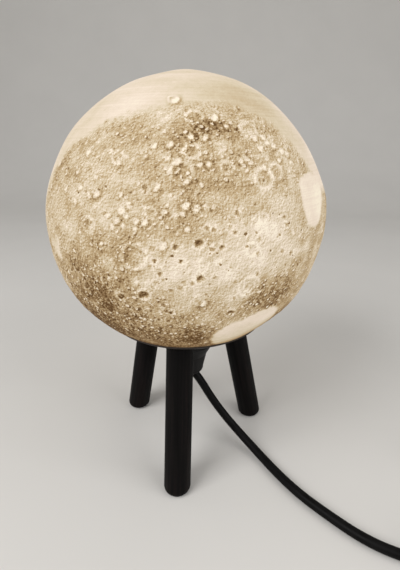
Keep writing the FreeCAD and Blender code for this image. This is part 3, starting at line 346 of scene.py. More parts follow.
# ------------------------------------------------------------ finishes
class NodeWork:
    """A node tree while its nodes are put together."""

    def __init__(self, tree):
        self.tree = tree

    def add(self, kind, inputs=None, **settings):
        """A new node with these settings; an input takes a value or another node's output."""
        made = self.tree.nodes.new(kind)
        for key, value in settings.items():
            setattr(made, key, value)
        for key, value in (inputs or {}).items():
            if isinstance(value, bpy.types.NodeSocket):
                self.tree.links.new(value, made.inputs[key])
            else:
                made.inputs[key].default_value = value
        return made

    def math(self, operation, *values, clamp=False):
        """The result of one sum on values or outputs."""
        return self.add("ShaderNodeMath", dict(enumerate(values)), operation=operation,
                        use_clamp=clamp).outputs[0]


class Finish(NodeWork):
    """A material while its nodes are put together."""

    def __init__(self, name, **sockets):
        self.material = bpy.data.materials.new(name)
        self.material.use_nodes = True
        super().__init__(self.material.node_tree)
        self.surface = self.tree.nodes["Principled BSDF"]
        self.place = self.tree.nodes.new("ShaderNodeTexCoord").outputs["Object"]
        for socket, value in sockets.items():
            self.surface.inputs[socket.replace("_", " ")].default_value = value

    def weighted(self, *parts, start=None):
        """The sum of outputs, each times its weight, on top of a start."""
        total = start
        for output, weight in parts:
            if total is None:
                total = self.math("MULTIPLY", output, weight)
            else:
                total = self.math("MULTIPLY_ADD", output, weight, total)
        return total

    def vector(self, operation, *values):
        """The result of one sum on vectors, which for a length is a value."""
        node = self.add("ShaderNodeVectorMath", dict(enumerate(values)), operation=operation)
        return node.outputs["Value" if operation == "LENGTH" else "Vector"]

    def scaled(self, vector, share):
        """A vector times a value."""
        node = self.add("ShaderNodeVectorMath", {0: vector, "Scale": share}, operation="SCALE")
        return node.outputs["Vector"]

    def mapped(self, scale=(1.0, 1.0, 1.0), rotation=(0.0, 0.0, 0.0), place=None):
        """Coordinates that are stretched and turned."""
        return self.add("ShaderNodeMapping", {
            "Vector": place or self.place, "Rotation": rotation, "Scale": scale}).outputs[0]

    def noise(self, scale, detail=2.0, roughness=0.5, place=None):
        """Noise over the object's own coordinates."""
        inputs = {"Vector": place or self.place, "Scale": scale, "Detail": detail,
                  "Roughness": roughness}
        return self.add("ShaderNodeTexNoise", inputs).outputs[0]

    def ramp(self, value, *stops):
        """A colour for each value, between these stops."""
        node = self.add("ShaderNodeValToRGB", {"Fac": value})
        marks = node.color_ramp.elements
        for index, (position, colour) in enumerate(stops):
            mark = marks[index] if index < 2 else marks.new(position)
            mark.position, mark.color = position, opaque(colour)
        return node.outputs["Color"]

    def steps(self, value, low, high, to_low=0.0, to_high=1.0):
        """A smooth step between two values."""
        return self.add("ShaderNodeMapRange", {
            "Value": value, "From Min": low, "From Max": high, "To Min": to_low, "To Max": to_high,
        }, interpolation_type="SMOOTHSTEP").outputs[0]

    def paint(self, **outputs):
        """Links these outputs to the surface's sockets."""
        for socket, output in outputs.items():
            self.tree.links.new(output, self.surface.inputs[socket.replace("_", " ")])
        return self

    def bump(self, height, strength, distance):
        """Fine relief of the surface."""
        node = self.add("ShaderNodeBump", {"Height": height, "Strength": strength,
                                           "Distance": distance})
        return self.paint(Normal=node.outputs[0])


def moulded_plastic(name, colour, roughness=0.45, texture=900.0, depth=0.00006, wear=0.25,
                    gloss=0.32):
    """Plastic with the fine texture of a spark-eroded mould and a little handling wear."""
    finish = Finish(name, Specular_IOR_Level=gloss)
    cloud = finish.noise(38.0, detail=3.0)
    grain = finish.noise(texture, roughness=0.6)
    mixed = finish.weighted((cloud, 0.6), (grain, 0.4))
    low, high = tinted(colour, 1 - wear), tinted(colour, 1 + wear, 0.002)
    finish.paint(
        Base_Color=finish.ramp(mixed, (0.3, low), (0.7, high)),
        Roughness=finish.steps(cloud, 0.25, 0.75, to_low=roughness - 0.07, to_high=roughness + 0.1))
    return finish.bump(grain, strength=0.5, distance=depth).material


def drawn_metal(name, colour, roughness=0.3, stretch=(60.0, 60.0, 900.0)):
    """Bright metal with fine lines along its drawing."""
    finish = Finish(name, Metallic=1.0)
    lines = finish.noise(1.0, detail=3.0, roughness=0.6, place=finish.mapped(stretch))
    tarnish = finish.noise(90.0, detail=3.0)
    finish.paint(
        Base_Color=finish.ramp(tarnish, (0.3, tinted(colour, 0.78)), (0.62, colour)),
        Roughness=finish.steps(lines, 0.25, 0.75, to_low=roughness - 0.08,
                               to_high=roughness + 0.12))
    return finish.bump(lines, strength=0.25, distance=0.00003).material


def stained_wood(name, turn, stain, grain_colour):
    """Close-grained wood under a dark satin stain, with its grain along the leg."""
    finish = Finish(name, Specular_IOR_Level=0.07)
    lean = Matrix.Rotation(LEG_SPLAY, 3, "Y") @ Matrix.Rotation(-math.radians(turn), 3, "Z")
    upright = finish.mapped(rotation=tuple(lean.to_euler("XYZ")))
    fine, broad = (finish.mapped(scale, place=upright) for scale in ((420, 420, 14), (95, 95, 6)))
    pores = finish.noise(1.0, detail=4.0, roughness=0.65, place=fine)
    bands = finish.noise(1.0, detail=3.0, roughness=0.55, place=broad)
    mixed = finish.weighted((bands, 0.45), (pores, 0.55))
    darkest = tinted(stain, 0.55)
    finish.paint(
        Base_Color=finish.ramp(mixed, (0.36, darkest), (0.5, stain), (0.66, grain_colour)),
        Roughness=finish.steps(pores, 0.3, 0.7, to_low=0.62, to_high=0.48))
    return finish.bump(pores, strength=0.35, distance=0.00012).material


def cord_sheath(name, colour):
    """Black flexible sheath, extruded, with faint scuffs."""
    finish = Finish(name, Specular_IOR_Level=0.09)
    scuffs = finish.noise(140.0, detail=4.0, roughness=0.6)
    skin = finish.noise(1500.0)
    low, high = tinted(colour, 0.8), tinted(colour, 1.35, 0.002)
    finish.paint(
        Base_Color=finish.ramp(scuffs, (0.35, low), (0.72, high)),
        Roughness=finish.steps(scuffs, 0.3, 0.7, to_low=0.42, to_high=0.58))
    return finish.bump(skin, strength=0.3, distance=0.00004).material


def small_craters(finish, place, drift, scale, radius, share):
    """Craters of about this radius, in metres: their floors, and a painted crescent on their lower
    right.
    """
    cells = finish.add("ShaderNodeTexVoronoi", {"Vector": place, "Scale": scale})
    luck = finish.add("ShaderNodeSeparateColor", {0: cells.outputs["Color"]}).outputs
    chosen = finish.steps(luck[0], 0.98 - share, 1.02 - share)
    size = finish.math("MULTIPLY_ADD", luck[1], 0.8 * radius, 0.55 * radius)
    away = finish.vector("SUBTRACT", place, cells.outputs["Position"])
    shade_shifted = finish.vector("SUBTRACT", away, finish.scaled(drift, radius))
    near, far = (finish.math("DIVIDE", finish.vector("LENGTH", gap), size) for gap in (away, shade_shifted))
    floor = finish.math("MULTIPLY", chosen, finish.steps(near, 1.0, 0.55))
    # a disc shifted to the lower right, less the floor: the painted crescent
    painted_crescent = finish.math("MULTIPLY", chosen, finish.steps(far, 1.25, 0.75))
    return floor, finish.math("SUBTRACT", painted_crescent, floor, clamp=True)


def printed_planet(name, settings):
    """Layer-printed wall of the globe, lit through, with its tone from the relief's attributes."""
    finish = Finish(name, Roughness=0.7, Specular_IOR_Level=0.05, Emission_Strength=settings.glow)
    tone, calm, plain = (finish.add("ShaderNodeAttribute", attribute_name=key).outputs["Fac"]
                         for key in ("tone", "calm", "plain"))
    rough = finish.math("MULTIPLY_ADD", calm, -0.87, 1.0)

    # drift points to the lower right, where the painted shade of a bump falls
    around = finish.vector("NORMALIZE", finish.vector("CROSS_PRODUCT", (0, 0, 1), finish.place))
    drift = finish.vector("MULTIPLY_ADD", around, (0.42, 0.42, 0.42), (0, 0, -0.5))
    # the place shifted to the upper left; noise at the place less noise here gives painted light
    # and shade
    shade_shifted = finish.vector("ADD", finish.place, finish.scaled(drift, -0.0008))

    # craters with ragged outlines: bright dots on the brown plains with painted shade on their
    # lower right, dark pits on the sandy ones with a painted highlight there
    ripple = finish.add("ShaderNodeTexNoise", {
        "Vector": finish.place, "Scale": 620.0, "Detail": 2.0}).outputs["Color"]
    ragged = finish.vector("MULTIPLY_ADD", ripple, (0.0016, 0.0016, 0.0016), finish.place)
    wide, wide_shade = small_craters(finish, ragged, drift, *WIDE_DOTS)
    fine, fine_shade = small_craters(finish, ragged, drift, *FINE_DOTS)
    pit, pit_highlight = small_craters(finish, ragged, drift, *SMALL_PITS)
    dots = finish.weighted((wide, 0.3), (wide_shade, -0.23), (fine, 0.22), (fine_shade, -0.17))
    holes = finish.weighted((pit_highlight, 0.17), (pit, -0.55))

    # painted light and shade of grit all over and of pebbles on the dark plains, noise less the
    # same noise shifted to the upper left, and the lines of the printed layers
    relief = [finish.noise(720.0, detail=3.0, roughness=0.6, place=place)
              for place in (finish.place, shade_shifted)]
    grit_shading = finish.math("SUBTRACT", *relief)
    lumps = [finish.noise(430.0, place=place) for place in (ragged, shade_shifted)]
    pebble_shading = finish.math("MULTIPLY", finish.math("SUBTRACT", *lumps),
                          finish.steps(plain, 0.6, 0.32))
    mottle = finish.noise(150.0, detail=3.0, roughness=0.6)
    streak = finish.noise(1.0, place=finish.mapped((16, 16, 1000)))
    layers = finish.math("MULTIPLY", finish.math("SUBTRACT", streak, 0.5),
                         finish.math("MULTIPLY_ADD", calm, 0.07, 0.11))

    brown = finish.steps(plain, 0.76, 0.28, to_low=0.3, to_high=1.6)
    sandy = finish.steps(plain, 0.6, 0.74, to_low=0.4, to_high=1.0)
    detail = finish.weighted((mottle, 0.3), (grit_shading, 1.1), (pebble_shading, 0.9), (dots, brown),
                             (holes, sandy), start=-0.15)
    detail = finish.math("MULTIPLY", detail, rough)
    total = finish.math("ADD", finish.math("ADD", tone, detail), layers)
    colour = finish.ramp(
        total, (0.0, settings.deep_colour), (1.0, settings.bright_colour),
        (0.24, settings.brown_colour), (0.5, settings.tan_colour), (0.7, settings.sand_colour),
        (0.88, settings.pale_colour))
    unlit = finish.add("ShaderNodeMix", {"Factor": 1.0, "A": colour, "B": (0.34, 0.34, 0.34, 1.0)},
                       data_type="RGBA", blend_type="MULTIPLY").outputs["Result"]
    finish.paint(Base_Color=unlit, Emission_Color=colour)
    height = finish.math("MULTIPLY", finish.weighted((relief[0], 0.5), (dots, -1.0)), rough)
    height = finish.weighted((streak, 0.1), start=height)
    return finish.bump(height, strength=0.5, distance=0.0006).material


def opal_dome(name, settings):
    """Opal bulb cover, lit from inside and a little brighter at its crown."""
    finish = Finish(name, Base_Color=(0.42, 0.41, 0.39, 1), Roughness=0.35, Specular_IOR_Level=0.35,
                    Emission_Strength=settings.glow)
    height = finish.add("ShaderNodeSeparateXYZ", {0: finish.place}).outputs["Z"]
    crown = finish.steps(height, *DOME_LEVELS)
    frost = finish.noise(1200.0)
    level = finish.weighted((frost, 0.06), start=crown)
    dim = tinted(settings.glow_colour, 0.86)
    finish.paint(Emission_Color=finish.ramp(level, (0.0, dim), (1.0, settings.glow_colour)))
    return finish.bump(frost, strength=0.2, distance=0.00003).material


def woven_strap(name, colour):
    """Hook-and-loop strap: a short nap on a ribbed weave."""
    finish = Finish(name, Roughness=0.85, Specular_IOR_Level=0.15)
    ribs = finish.add("ShaderNodeTexWave", {
        "Vector": finish.place, "Scale": 260.0, "Distortion": 1.5, "Detail": 2.0}).outputs["Fac"]
    nap = finish.noise(1700.0, detail=3.0, roughness=0.7)
    mixed = finish.weighted((nap, 0.55), (ribs, 0.45))
    low, high = tinted(colour, 0.6), tinted(colour, 1.6, 0.004)
    finish.paint(Base_Color=finish.ramp(mixed, (0.2, low), (0.8, high)))
    return finish.bump(mixed, strength=0.8, distance=0.0003).material


def circuit_board(name, colour, copper):
    """Lacquered board with lighter copper areas under the lacquer."""
    finish = Finish(name, Roughness=0.35)
    areas = finish.add("ShaderNodeTexVoronoi", {
        "Vector": finish.place, "Scale": 320.0}, distance="CHEBYCHEV").outputs["Distance"]
    mixed = finish.weighted((finish.noise(2200.0), 0.15), start=areas)
    finish.paint(Base_Color=finish.ramp(mixed, (0.42, copper), (0.55, colour)))
    return finish.bump(areas, strength=0.3, distance=0.00005).material


def coat(material, *names):
    """Gives CAD nodes a finish, in their own material slots."""
    for name in names:
        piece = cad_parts[name]
        for index in range(max(1, len(piece.material_slots))):
            if not piece.material_slots:
                piece.data.materials.append(material)
            piece.material_slots[index].material = material


# ------------------------------------------------------------ shapes
def placed(context, name, mesh, body, material=None, smooth=True):
    """A finished piece at the origin, riding on a body."""
    piece = bpy.data.objects.new(name, mesh)
    context.scene.collection.objects.link(piece)
    if material is not None:
        mesh.materials.clear()
        mesh.materials.append(material)
    mesh.polygons.foreach_set("use_smooth", [smooth] * len(mesh.polygons))
    mesh.update()
    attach(piece, body)
    return piece


def new_mesh(name, points, faces):
    """A mesh of these points and faces."""
    mesh = bpy.data.meshes.new(name)
    mesh.from_pydata(points, [], faces)
    return mesh


def finished_mesh(name, shape):
    """The mesh of a bmesh that is finished with."""
    mesh = bpy.data.meshes.new(name)
    shape.to_mesh(mesh)
    shape.free()
    return mesh


def round_ring(name, radius, thickness, around=40, section=10):
    """A ring of round section about the Y axis."""
    points, faces = [], []
    for k in range(around):
        turn = 2 * math.pi * k / around
        for j in range(section):
            roll = 2 * math.pi * j / section
            reach = radius + thickness / 2 * math.cos(roll)
            points.append((reach * math.cos(turn), thickness / 2 * math.sin(roll),
                           reach * math.sin(turn)))
            here, ahead = k * section, (k + 1) % around * section
            faces.append((here + j, here + (j + 1) % section, ahead + (j + 1) % section, ahead + j))
    return new_mesh(name, points, faces)


def rounded_block(name, size, rounding, segments=2):
    """A block with rounded edges about the origin."""
    shape = bmesh.new()
    bmesh.ops.create_cube(shape, size=1.0, matrix=Matrix.Diagonal((*size, 1.0)))
    bmesh.ops.bevel(shape, geom=list(shape.edges), offset=rounding, segments=segments,
                    profile=0.5, affect="EDGES")
    return finished_mesh(name, shape)


def cross_screw(name, head, head_height, shank, length, slot_depth):
    """A screw with a cross recess, its seat at the origin and its head up."""
    shape = bmesh.new()
    count = 32
    around = [(math.cos(2 * math.pi * k / count), math.sin(2 * math.pi * k / count))
              for k in range(count)]
    profile = [(shank * 0.05, -length), (shank, -length + 2.2 * shank), (shank, 0), (head, 0),
               (head, head_height * 0.55), (head * 0.93, head_height * 0.86),
               (head * 0.8, head_height)]
    rings = [[shape.verts.new((r * x, r * y, z)) for x, y in around] for r, z in profile]
    for low, high in zip(rings, rings[1:]):
        for k in range(count):
            shape.faces.new((low[k], low[(k + 1) % count], high[(k + 1) % count], high[k]))
    shape.faces.new(rings[0][::-1])
    arm, half = head * 0.56, head * 0.11
    outline = [(arm, -half), (arm, half), (half, half), (half, arm), (-half, arm), (-half, half),
               (-arm, half), (-arm, -half), (-half, -half), (-half, -arm), (half, -arm),
               (half, -half)]
    lip = [shape.verts.new((x, y, head_height)) for x, y in outline]
    floor = [shape.verts.new((x * 0.72, y * 0.72, head_height - slot_depth)) for x, y in outline]
    edges = [shape.edges.get((rings[-1][k], rings[-1][(k + 1) % count])) for k in range(count)]
    corners = len(outline)
    edges += [shape.edges.new((lip[k], lip[(k + 1) % corners])) for k in range(corners)]
    bmesh.ops.triangle_fill(shape, edges=edges, use_beauty=True, use_dissolve=False)
    for k in range(corners):
        shape.faces.new((lip[k], lip[(k + 1) % corners], floor[(k + 1) % corners], floor[k]))
    shape.faces.new(floor)
    bmesh.ops.recalc_face_normals(shape, faces=list(shape.faces))
    return finished_mesh(name, shape)


# ------------------------------------------------------------ repeated shapes
class CopyTree(NodeWork):
    """A Geometry Nodes tree that repeats one shape."""

    def __init__(self, name, sockets):
        super().__init__(bpy.data.node_groups.new(name, "GeometryNodeTree"))
        face = self.tree.interface
        face.new_socket("Geometry", in_out="OUTPUT", socket_type="NodeSocketGeometry")
        for label, kind in sockets:
            face.new_socket(label, in_out="INPUT", socket_type="NodeSocket" + kind)
        self.inputs = self.tree.nodes.new("NodeGroupInput").outputs

    def close(self, geometry):
        """Realizes the copies, gives them their finish and ends the tree."""
        real = self.add("GeometryNodeRealizeInstances", {0: geometry}).outputs[0]
        dressed = self.add("GeometryNodeSetMaterial", {
            "Geometry": real, "Material": self.inputs["Finish"]}).outputs[0]
        self.add("NodeGroupOutput", {0: dressed})
        return self.tree


def ring_of_copies():
    """Tree: copies of a shape round the upright axis, each turned to face outwards."""
    made = CopyTree("ring_of_copies", (
        ("Shape", "Object"), ("Count", "Int"), ("Radius", "Float"), ("Height", "Float"),
        ("Lean", "Float"), ("First turn", "Float"), ("Finish", "Material")))
    circle = made.add("GeometryNodeMeshCircle", {
        "Vertices": made.inputs["Count"], "Radius": made.inputs["Radius"]}).outputs[0]
    step = made.math("DIVIDE", 2 * math.pi, made.inputs["Count"])
    turn = made.math("MULTIPLY", made.add("GeometryNodeInputIndex").outputs[0], step)
    angles = made.add("ShaderNodeCombineXYZ", {
        "Y": made.inputs["Lean"], "Z": turn}).outputs[0]
    facing = made.add("FunctionNodeEulerToRotation", {0: angles}).outputs[0]
    shape = made.add("GeometryNodeObjectInfo", {"Object": made.inputs["Shape"]}).outputs["Geometry"]
    copies = made.add("GeometryNodeInstanceOnPoints", {
        "Points": circle, "Instance": shape, "Rotation": facing}).outputs[0]
    lift = made.add("ShaderNodeCombineXYZ", {"Z": made.inputs["Height"]}).outputs[0]
    start = made.add("ShaderNodeCombineXYZ", {"Z": made.inputs["First turn"]}).outputs[0]
    set_up = made.add("GeometryNodeTransform", {
        "Geometry": copies, "Translation": lift, "Rotation": start}).outputs[0]
    return made.close(set_up)


def row_of_copies():
    """Tree: copies of a shape in a straight row."""
    made = CopyTree("row_of_copies", (
        ("Shape", "Object"), ("Count", "Int"), ("Start", "Vector"), ("Step", "Vector"),
        ("Growth", "Float"), ("Finish", "Material")))
    line = made.add("GeometryNodeMeshLine", {
        "Count": made.inputs["Count"], "Start Location": made.inputs["Start"],
        "Offset": made.inputs["Step"]}, mode="OFFSET").outputs[0]
    shape = made.add("GeometryNodeObjectInfo", {"Object": made.inputs["Shape"]}).outputs["Geometry"]
    swell = made.math("ADD", made.math(
        "MULTIPLY", made.add("GeometryNodeInputIndex").outputs[0], made.inputs["Growth"]), 1.0)
    copies = made.add("GeometryNodeInstanceOnPoints", {
        "Points": line, "Instance": shape, "Scale": swell}).outputs[0]
    return made.close(copies)


def grown(context, name, tree, shape, material, **values):
    """The plain mesh that a tree makes of a shape, with these sizes."""
    pattern = bpy.data.objects.new(name + "_pattern", shape)
    carrier = bpy.data.objects.new(name + "_carrier", bpy.data.meshes.new(name))
    for item in (pattern, carrier):
        context.scene.collection.objects.link(item)
    modifier = carrier.modifiers.new(name, "NODES")
    modifier.node_group = tree
    given = {"Shape": pattern, "Finish": material}
    given.update({key.replace("_", " "): value for key, value in values.items()})
    for item in tree.interface.items_tree:
        if item.in_out == "INPUT":
            modifier[item.identifier] = given[item.name]
    shaped = carrier.evaluated_get(context.evaluated_depsgraph_get())
    mesh = bpy.data.meshes.new_from_object(shaped)
    carrier.modifiers.remove(modifier)
    for item in (carrier, pattern):
        bpy.data.objects.remove(item)
    if not mesh.polygons:
        raise RuntimeError(f"{name}: the copies came out empty")
    mesh.name = name
    return mesh


# ------------------------------------------------------------ globe
def heading(turn, height):
    """The unit direction at a turn and a height angle in degrees."""
    a, e = math.radians(turn), math.radians(height)
    return np.array((math.cos(e) * math.cos(a), math.cos(e) * math.sin(a), math.sin(e)))


def smooth_step(value, low, high):
    """0 below low, 1 above high and smooth between."""
    x = np.clip((value - low) / (high - low), 0.0, 1.0)
    return x * x * (3 - 2 * x)


class Relief:
    """Height, tone and calmness over the globe's grid of directions."""

    def __init__(self, rings, segments, rim_angle):
        self.polar = np.linspace(0.0, rim_angle, rings + 1)
        even = np.linspace(-math.pi, math.pi, segments, endpoint=False)
        self.turn = even - FRONT_CROWDING * np.sin(even) - math.pi / 2
        self.fineness = GLOBE_RADIUS_MM * np.gradient(self.turn)
        polar, turn = np.meshgrid(self.polar, self.turn, indexing="ij")
        self.ways = np.stack((np.sin(polar) * np.cos(turn), np.sin(polar) * np.sin(turn),
                              np.cos(polar)), axis=-1)
        self.height = np.zeros(polar.shape)
        self.tone = np.full(polar.shape, PLAIN_TONE)
        self.calm, self.plain, self.ragged = (np.zeros(polar.shape) for _ in range(3))

    def apart(self, centre):
        """Angle of each direction from a centre, in degrees."""
        return np.degrees(np.arccos(np.clip(self.ways @ centre, -1.0, 1.0)))

    def near(self, turn, height, half):
        """1 at a spot, falling off over a half-width in degrees."""
        return np.exp(-(self.apart(heading(turn, height)) / half) ** 2)

    def window(self, centre, reach):
        """The part of the grid within reach, in radians, of a centre."""
        polar = math.acos(max(-1.0, min(1.0, centre[2])))
        turn = math.atan2(centre[1], centre[0])
        rows = np.flatnonzero(np.abs(self.polar - polar) <= reach)
        wide = math.pi
        if reach < polar < math.pi - reach:
            wide = math.asin(min(1.0, math.sin(reach) / math.sin(polar)))
        off = np.abs((self.turn - turn + math.pi) % (2 * math.pi) - math.pi)
        return np.ix_(rows, np.flatnonzero(off <= wide))

    def outside(self, outline):
        """How far, in degrees, each direction lies outside an outline with rounded corners."""
        ways = np.array([heading(*spot) for spot in outline])
        for _ in range(2):
            ahead = np.roll(ways, -1, axis=0)
            ways = np.stack((0.75 * ways + 0.25 * ahead, 0.25 * ways + 0.75 * ahead), axis=1)
            ways = ways.reshape(-1, 3)
        middle = ways.mean(axis=0)
        middle /= np.linalg.norm(middle)
        east = np.cross((0, 0, 1), middle)
        east /= np.linalg.norm(east)
        flat = np.stack((east, np.cross(middle, east)), axis=1)
        corners = np.degrees(ways @ flat)
        spots = np.degrees(self.ways @ flat)
        nearest = np.full(self.height.shape, 1e9)
        inside = np.zeros(self.height.shape, dtype=bool)
        for here, ahead in zip(corners, np.roll(corners, -1, axis=0)):
            side, reach = ahead - here, spots - here
            share = np.clip((reach @ side) / (side @ side), 0.0, 1.0)
            nearest = np.minimum(nearest, np.linalg.norm(reach - share[..., None] * side, axis=-1))
            crosses = (here[1] > spots[..., 1]) != (ahead[1] > spots[..., 1])
            level = (spots[..., 1] - here[1]) * side[0] / (side[1] if side[1] else 1e-9)
            inside ^= crosses & (reach[..., 0] < level)
        facing = self.ways @ middle > 0.3
        return np.where(facing, np.where(inside, -nearest, nearest), 1e9)

    def cell(self, way):
        """The row and column of the grid nearest to a direction."""
        turn = (math.atan2(way[1], way[0]) - self.turn[0]) % (2 * math.pi) + self.turn[0]
        return (int(np.argmin(np.abs(self.polar - math.acos(way[2])))),
                int(np.argmin(np.abs(self.turn - turn))))

    def waves(self, random, count, shortest, longest):
        """Random lumps of about these sizes in millimetres, with a spread of about 1."""
        total = np.zeros(self.height.shape)
        for _ in range(count):
            way = random.normal(size=3)
            way /= np.linalg.norm(way)
            size = math.exp(random.uniform(math.log(shortest), math.log(longest)))
            pace = 2 * math.pi * GLOBE_RADIUS_MM / size
            total += np.cos(self.ways @ way * pace + random.uniform(0, 2 * math.pi))
        return total * math.sqrt(2.0 / count)

    def stamp(self, centre, radius, kind, weight, stray):
        """Presses one crater of a radius in millimetres into the grid."""
        size = radius / GLOBE_RADIUS_MM
        at = self.window(centre, 2.0 * size)
        ways = self.ways[at]
        if ways.size == 0:
            return
        if kind == "ring":
            stray = RING_STRAY
        x = np.arccos(np.clip(ways @ centre, -1.0, 1.0)) / size * (1 + stray * self.ragged[at])
        rim = np.exp(-((x - 1.0) / min(0.27, 1.1 / radius)) ** 2)
        bowl = np.clip(1 - x * x, 0.0, 1.0)
        if kind == "bright":
            shape = 0.19 * rim - 0.12 * bowl
            room = np.clip(1.12 - self.tone[at], 0.1, 0.6)
            change = (0.92 * room * np.exp(-(x / 0.88) ** 4)
                      - 0.13 * np.exp(-((x - 1.5) / 0.32) ** 2))
        elif kind == "ring":
            shape = 0.06 * rim - 0.02 * smooth_step(x, 1.0, 0.7)
            change = 0.24 * rim - 0.07 * np.exp(-((x - 0.7) / 0.16) ** 2)
        else:
            shape = 0.12 * rim - 0.26 * bowl
            change = -0.44 * np.exp(-(x / 0.84) ** 4) + 0.2 * np.exp(-((x - 1.25) / 0.26) ** 2)
        self.height[at] += weight * min(radius, 4.5) * shape
        self.tone[at] += weight * change

    def shading(self):
        """How far each spot's slope faces up and to the left, as a light from there falls on the
        print; the tone takes it as painted shade and highlight.
        """
        down = np.gradient(self.height, GLOBE_RADIUS_MM * self.polar[1], axis=0)
        wrapped = np.concatenate((self.height[:, -1:], self.height, self.height[:, :1]), axis=1)
        round_trip = 2 * math.pi
        turns = np.concatenate((self.turn[-1:] - round_trip, self.turn, self.turn[:1] + round_trip))
        along = (wrapped[:, 2:] - wrapped[:, :-2]) / (GLOBE_RADIUS_MM * (turns[2:] - turns[:-2]))
        around = np.maximum(np.sin(self.polar), 0.02)[:, None]
        return 0.75 * down + 0.66 * along / around


def smooth_zones(relief, wander, far):
    """The calm belt over the top and the smooth patches; their edges wander most where far is 1."""
    belt = relief.apart(heading(*PALE_AXIS)) + 0.5 * wander + 0.5 * relief.ragged
    for turn, height, half, shift in BELT_BENDS:
        belt += shift * relief.near(turn, height, half)
    belt += far * (5.0 * wander + 1.5 * relief.ragged)
    calm = smooth_step(belt, PALE_TO + 3.2, PALE_TO - 2.2)
    calm *= smooth_step(belt, PALE_FROM - 4, PALE_FROM + 4)
    calm *= 1 - 0.6 * far * smooth_step(wander, -0.6, 1.2)
    for clear, outline in SMOOTH_PATCHES:
        gap = relief.outside(outline) + (0.25 + 2.0 * far) * wander + 0.2 * relief.ragged
        calm = np.maximum(calm, clear * smooth_step(gap, 1.0, -0.6))
    relief.calm = calm


def plains(relief, wander, random):
    """The broad light and dark zones of the cratered face."""
    for turn, height, half, change in TONE_ZONES:
        gap = relief.apart(heading(turn, height)) + 1.6 * wander
        relief.tone += change * np.exp(-(np.maximum(gap, 0.0) / half) ** 2)
    relief.tone += 0.045 * relief.waves(random, 60, 9.0, 26.0)
    relief.plain = relief.tone.copy()


def scattered_craters(relief, count, random):
    """Small craters: bright ones on the brown plains and behind, dark pits on the light plains."""
    for _ in range(count):
        way = random.normal(size=3)
        way /= np.linalg.norm(way)
        radius = min(1.1 * random.uniform(0.02, 1.0) ** -0.4, 4.8)
        pick = random.uniform()
        here = relief.cell(way)
        fineness = relief.fineness[here[1]]
        if relief.calm[here] > 0.4 or radius < fineness:
            continue
        behind = fineness > BEHIND_FINENESS
        if radius > 2.4:
            kind = "bright" if behind and pick < 0.55 else "ring"
        elif pick < 0.6:
            kind = "pit" if relief.plain[here] > 0.68 else "bright"
        else:
            kind = "ring"
        weight = (0.4 if behind else 0.12) + 0.6 * random.uniform() ** 2
        relief.stamp(way, radius, kind, weight, SCATTERED_STRAY)


def named_craters(relief):
    """The craters that have a place of their own."""
    for kind, craters in (("ring", RING_CRATERS), ("bright", BRIGHT_CRATERS), ("pit", DARK_PITS)):
        for turn, height, radius in craters:
            weight = min(1.1, 0.5 + 0.25 * radius) if kind == "pit" else 1.0
            relief.stamp(heading(turn, height), radius, kind, weight, NAMED_STRAY)


def lower_shade(relief, low, off_face):
    """Painted shade: the darker underside, where less of the bulb's light comes through, darker
    still just above the rim and at the lower right edge of the seen face.
    """
    left = relief.near(-128, -48, 24.0)
    relief.tone -= (0.3 + 0.12 * left) * smooth_step(low, -27.0, -52.0) * (1 - 0.3 * relief.calm)
    relief.tone -= 0.14 * smooth_step(low, -46.5, -51.5)
    relief.tone -= 0.3 * smooth_step(off_face, 55.0, 68.0) * relief.near(-38, -42, 20.0)


def planet_relief(settings):
    """The globe's relief, from its plains and smooth zones to its smallest craters."""
    drop = (GLOBE_CENTRE.z - GLOBE_RIM_LEVEL) / GLOBE_RADIUS
    relief = Relief(settings.rings, settings.segments, math.acos(-drop))
    random = np.random.default_rng(settings.seed)
    low = np.degrees(np.arcsin(np.clip(relief.ways[..., 2], -1, 1)))
    off_face = relief.apart(heading(*FACE))

    wander = relief.waves(random, 40, 12.0, 60.0)
    relief.ragged = relief.waves(random, 90, 3.4, 7.0)
    smooth_zones(relief, wander, smooth_step(off_face, 68.0, 88.0))
    plains(relief, wander, random)
    scattered_craters(relief, settings.crater_count, random)
    relief.height += 0.05 * relief.ragged + 0.06 * relief.waves(random, 60, 7.0, 18.0)
    relief.height *= 1.0 - 0.92 * relief.calm
    calm_tone = CALM_TONE + 0.025 * wander + 0.008 * relief.ragged
    calm_tone -= 0.05 * smooth_step(low, 48.0, 75.0)
    for turn, height, half, change in CALM_SHADES:
        calm_tone += change * relief.near(turn, height, half)
    relief.tone += (calm_tone - relief.tone) * relief.calm
    named_craters(relief)
    # painted shade and highlight: slopes facing the upper left lighter, the others darker
    relief.tone += 0.9 * np.clip(relief.shading(), -0.45, 0.45)

    for turn, height, half, lift in SWELLS:
        relief.height += lift * relief.near(turn, height, half)
    relief.height += 0.18 * relief.waves(random, 40, 40.0, 110.0)
    lower_shade(relief, low, off_face)
    relief.tone = np.clip(relief.tone, 0.02, 1.0)
    relief.height = np.clip(relief.height, *RELIEF_RANGE)
    rim_fade = smooth_step(relief.polar, relief.polar[-1], relief.polar[-6])
    relief.height *= settings.relief * rim_fade[:, None]
    for values in (relief.height, relief.tone, relief.calm, relief.plain):
        values[0, :] = values[0, :].mean()
    return relief


def dome_index(first, segments, row, column):
    """The index of a dome's point: its top is the first, and its rings follow."""
    return first if row == 0 else first + 1 + (row - 1) * segments + column % segments


def dome_faces(first, rings, segments, inward):
    """The faces of a dome's grid, looking inwards or outwards."""
    faces = []
    for row in range(rings):
        for column in range(segments):
            spots = ((row, column), (row + 1, column), (row + 1, column + 1), (row, column + 1))
            face = [dome_index(first, segments, *spot) for spot in spots[:4 if row else 3]]
            faces.append((face[0], *face[:0:-1]) if inward else tuple(face))
    return faces


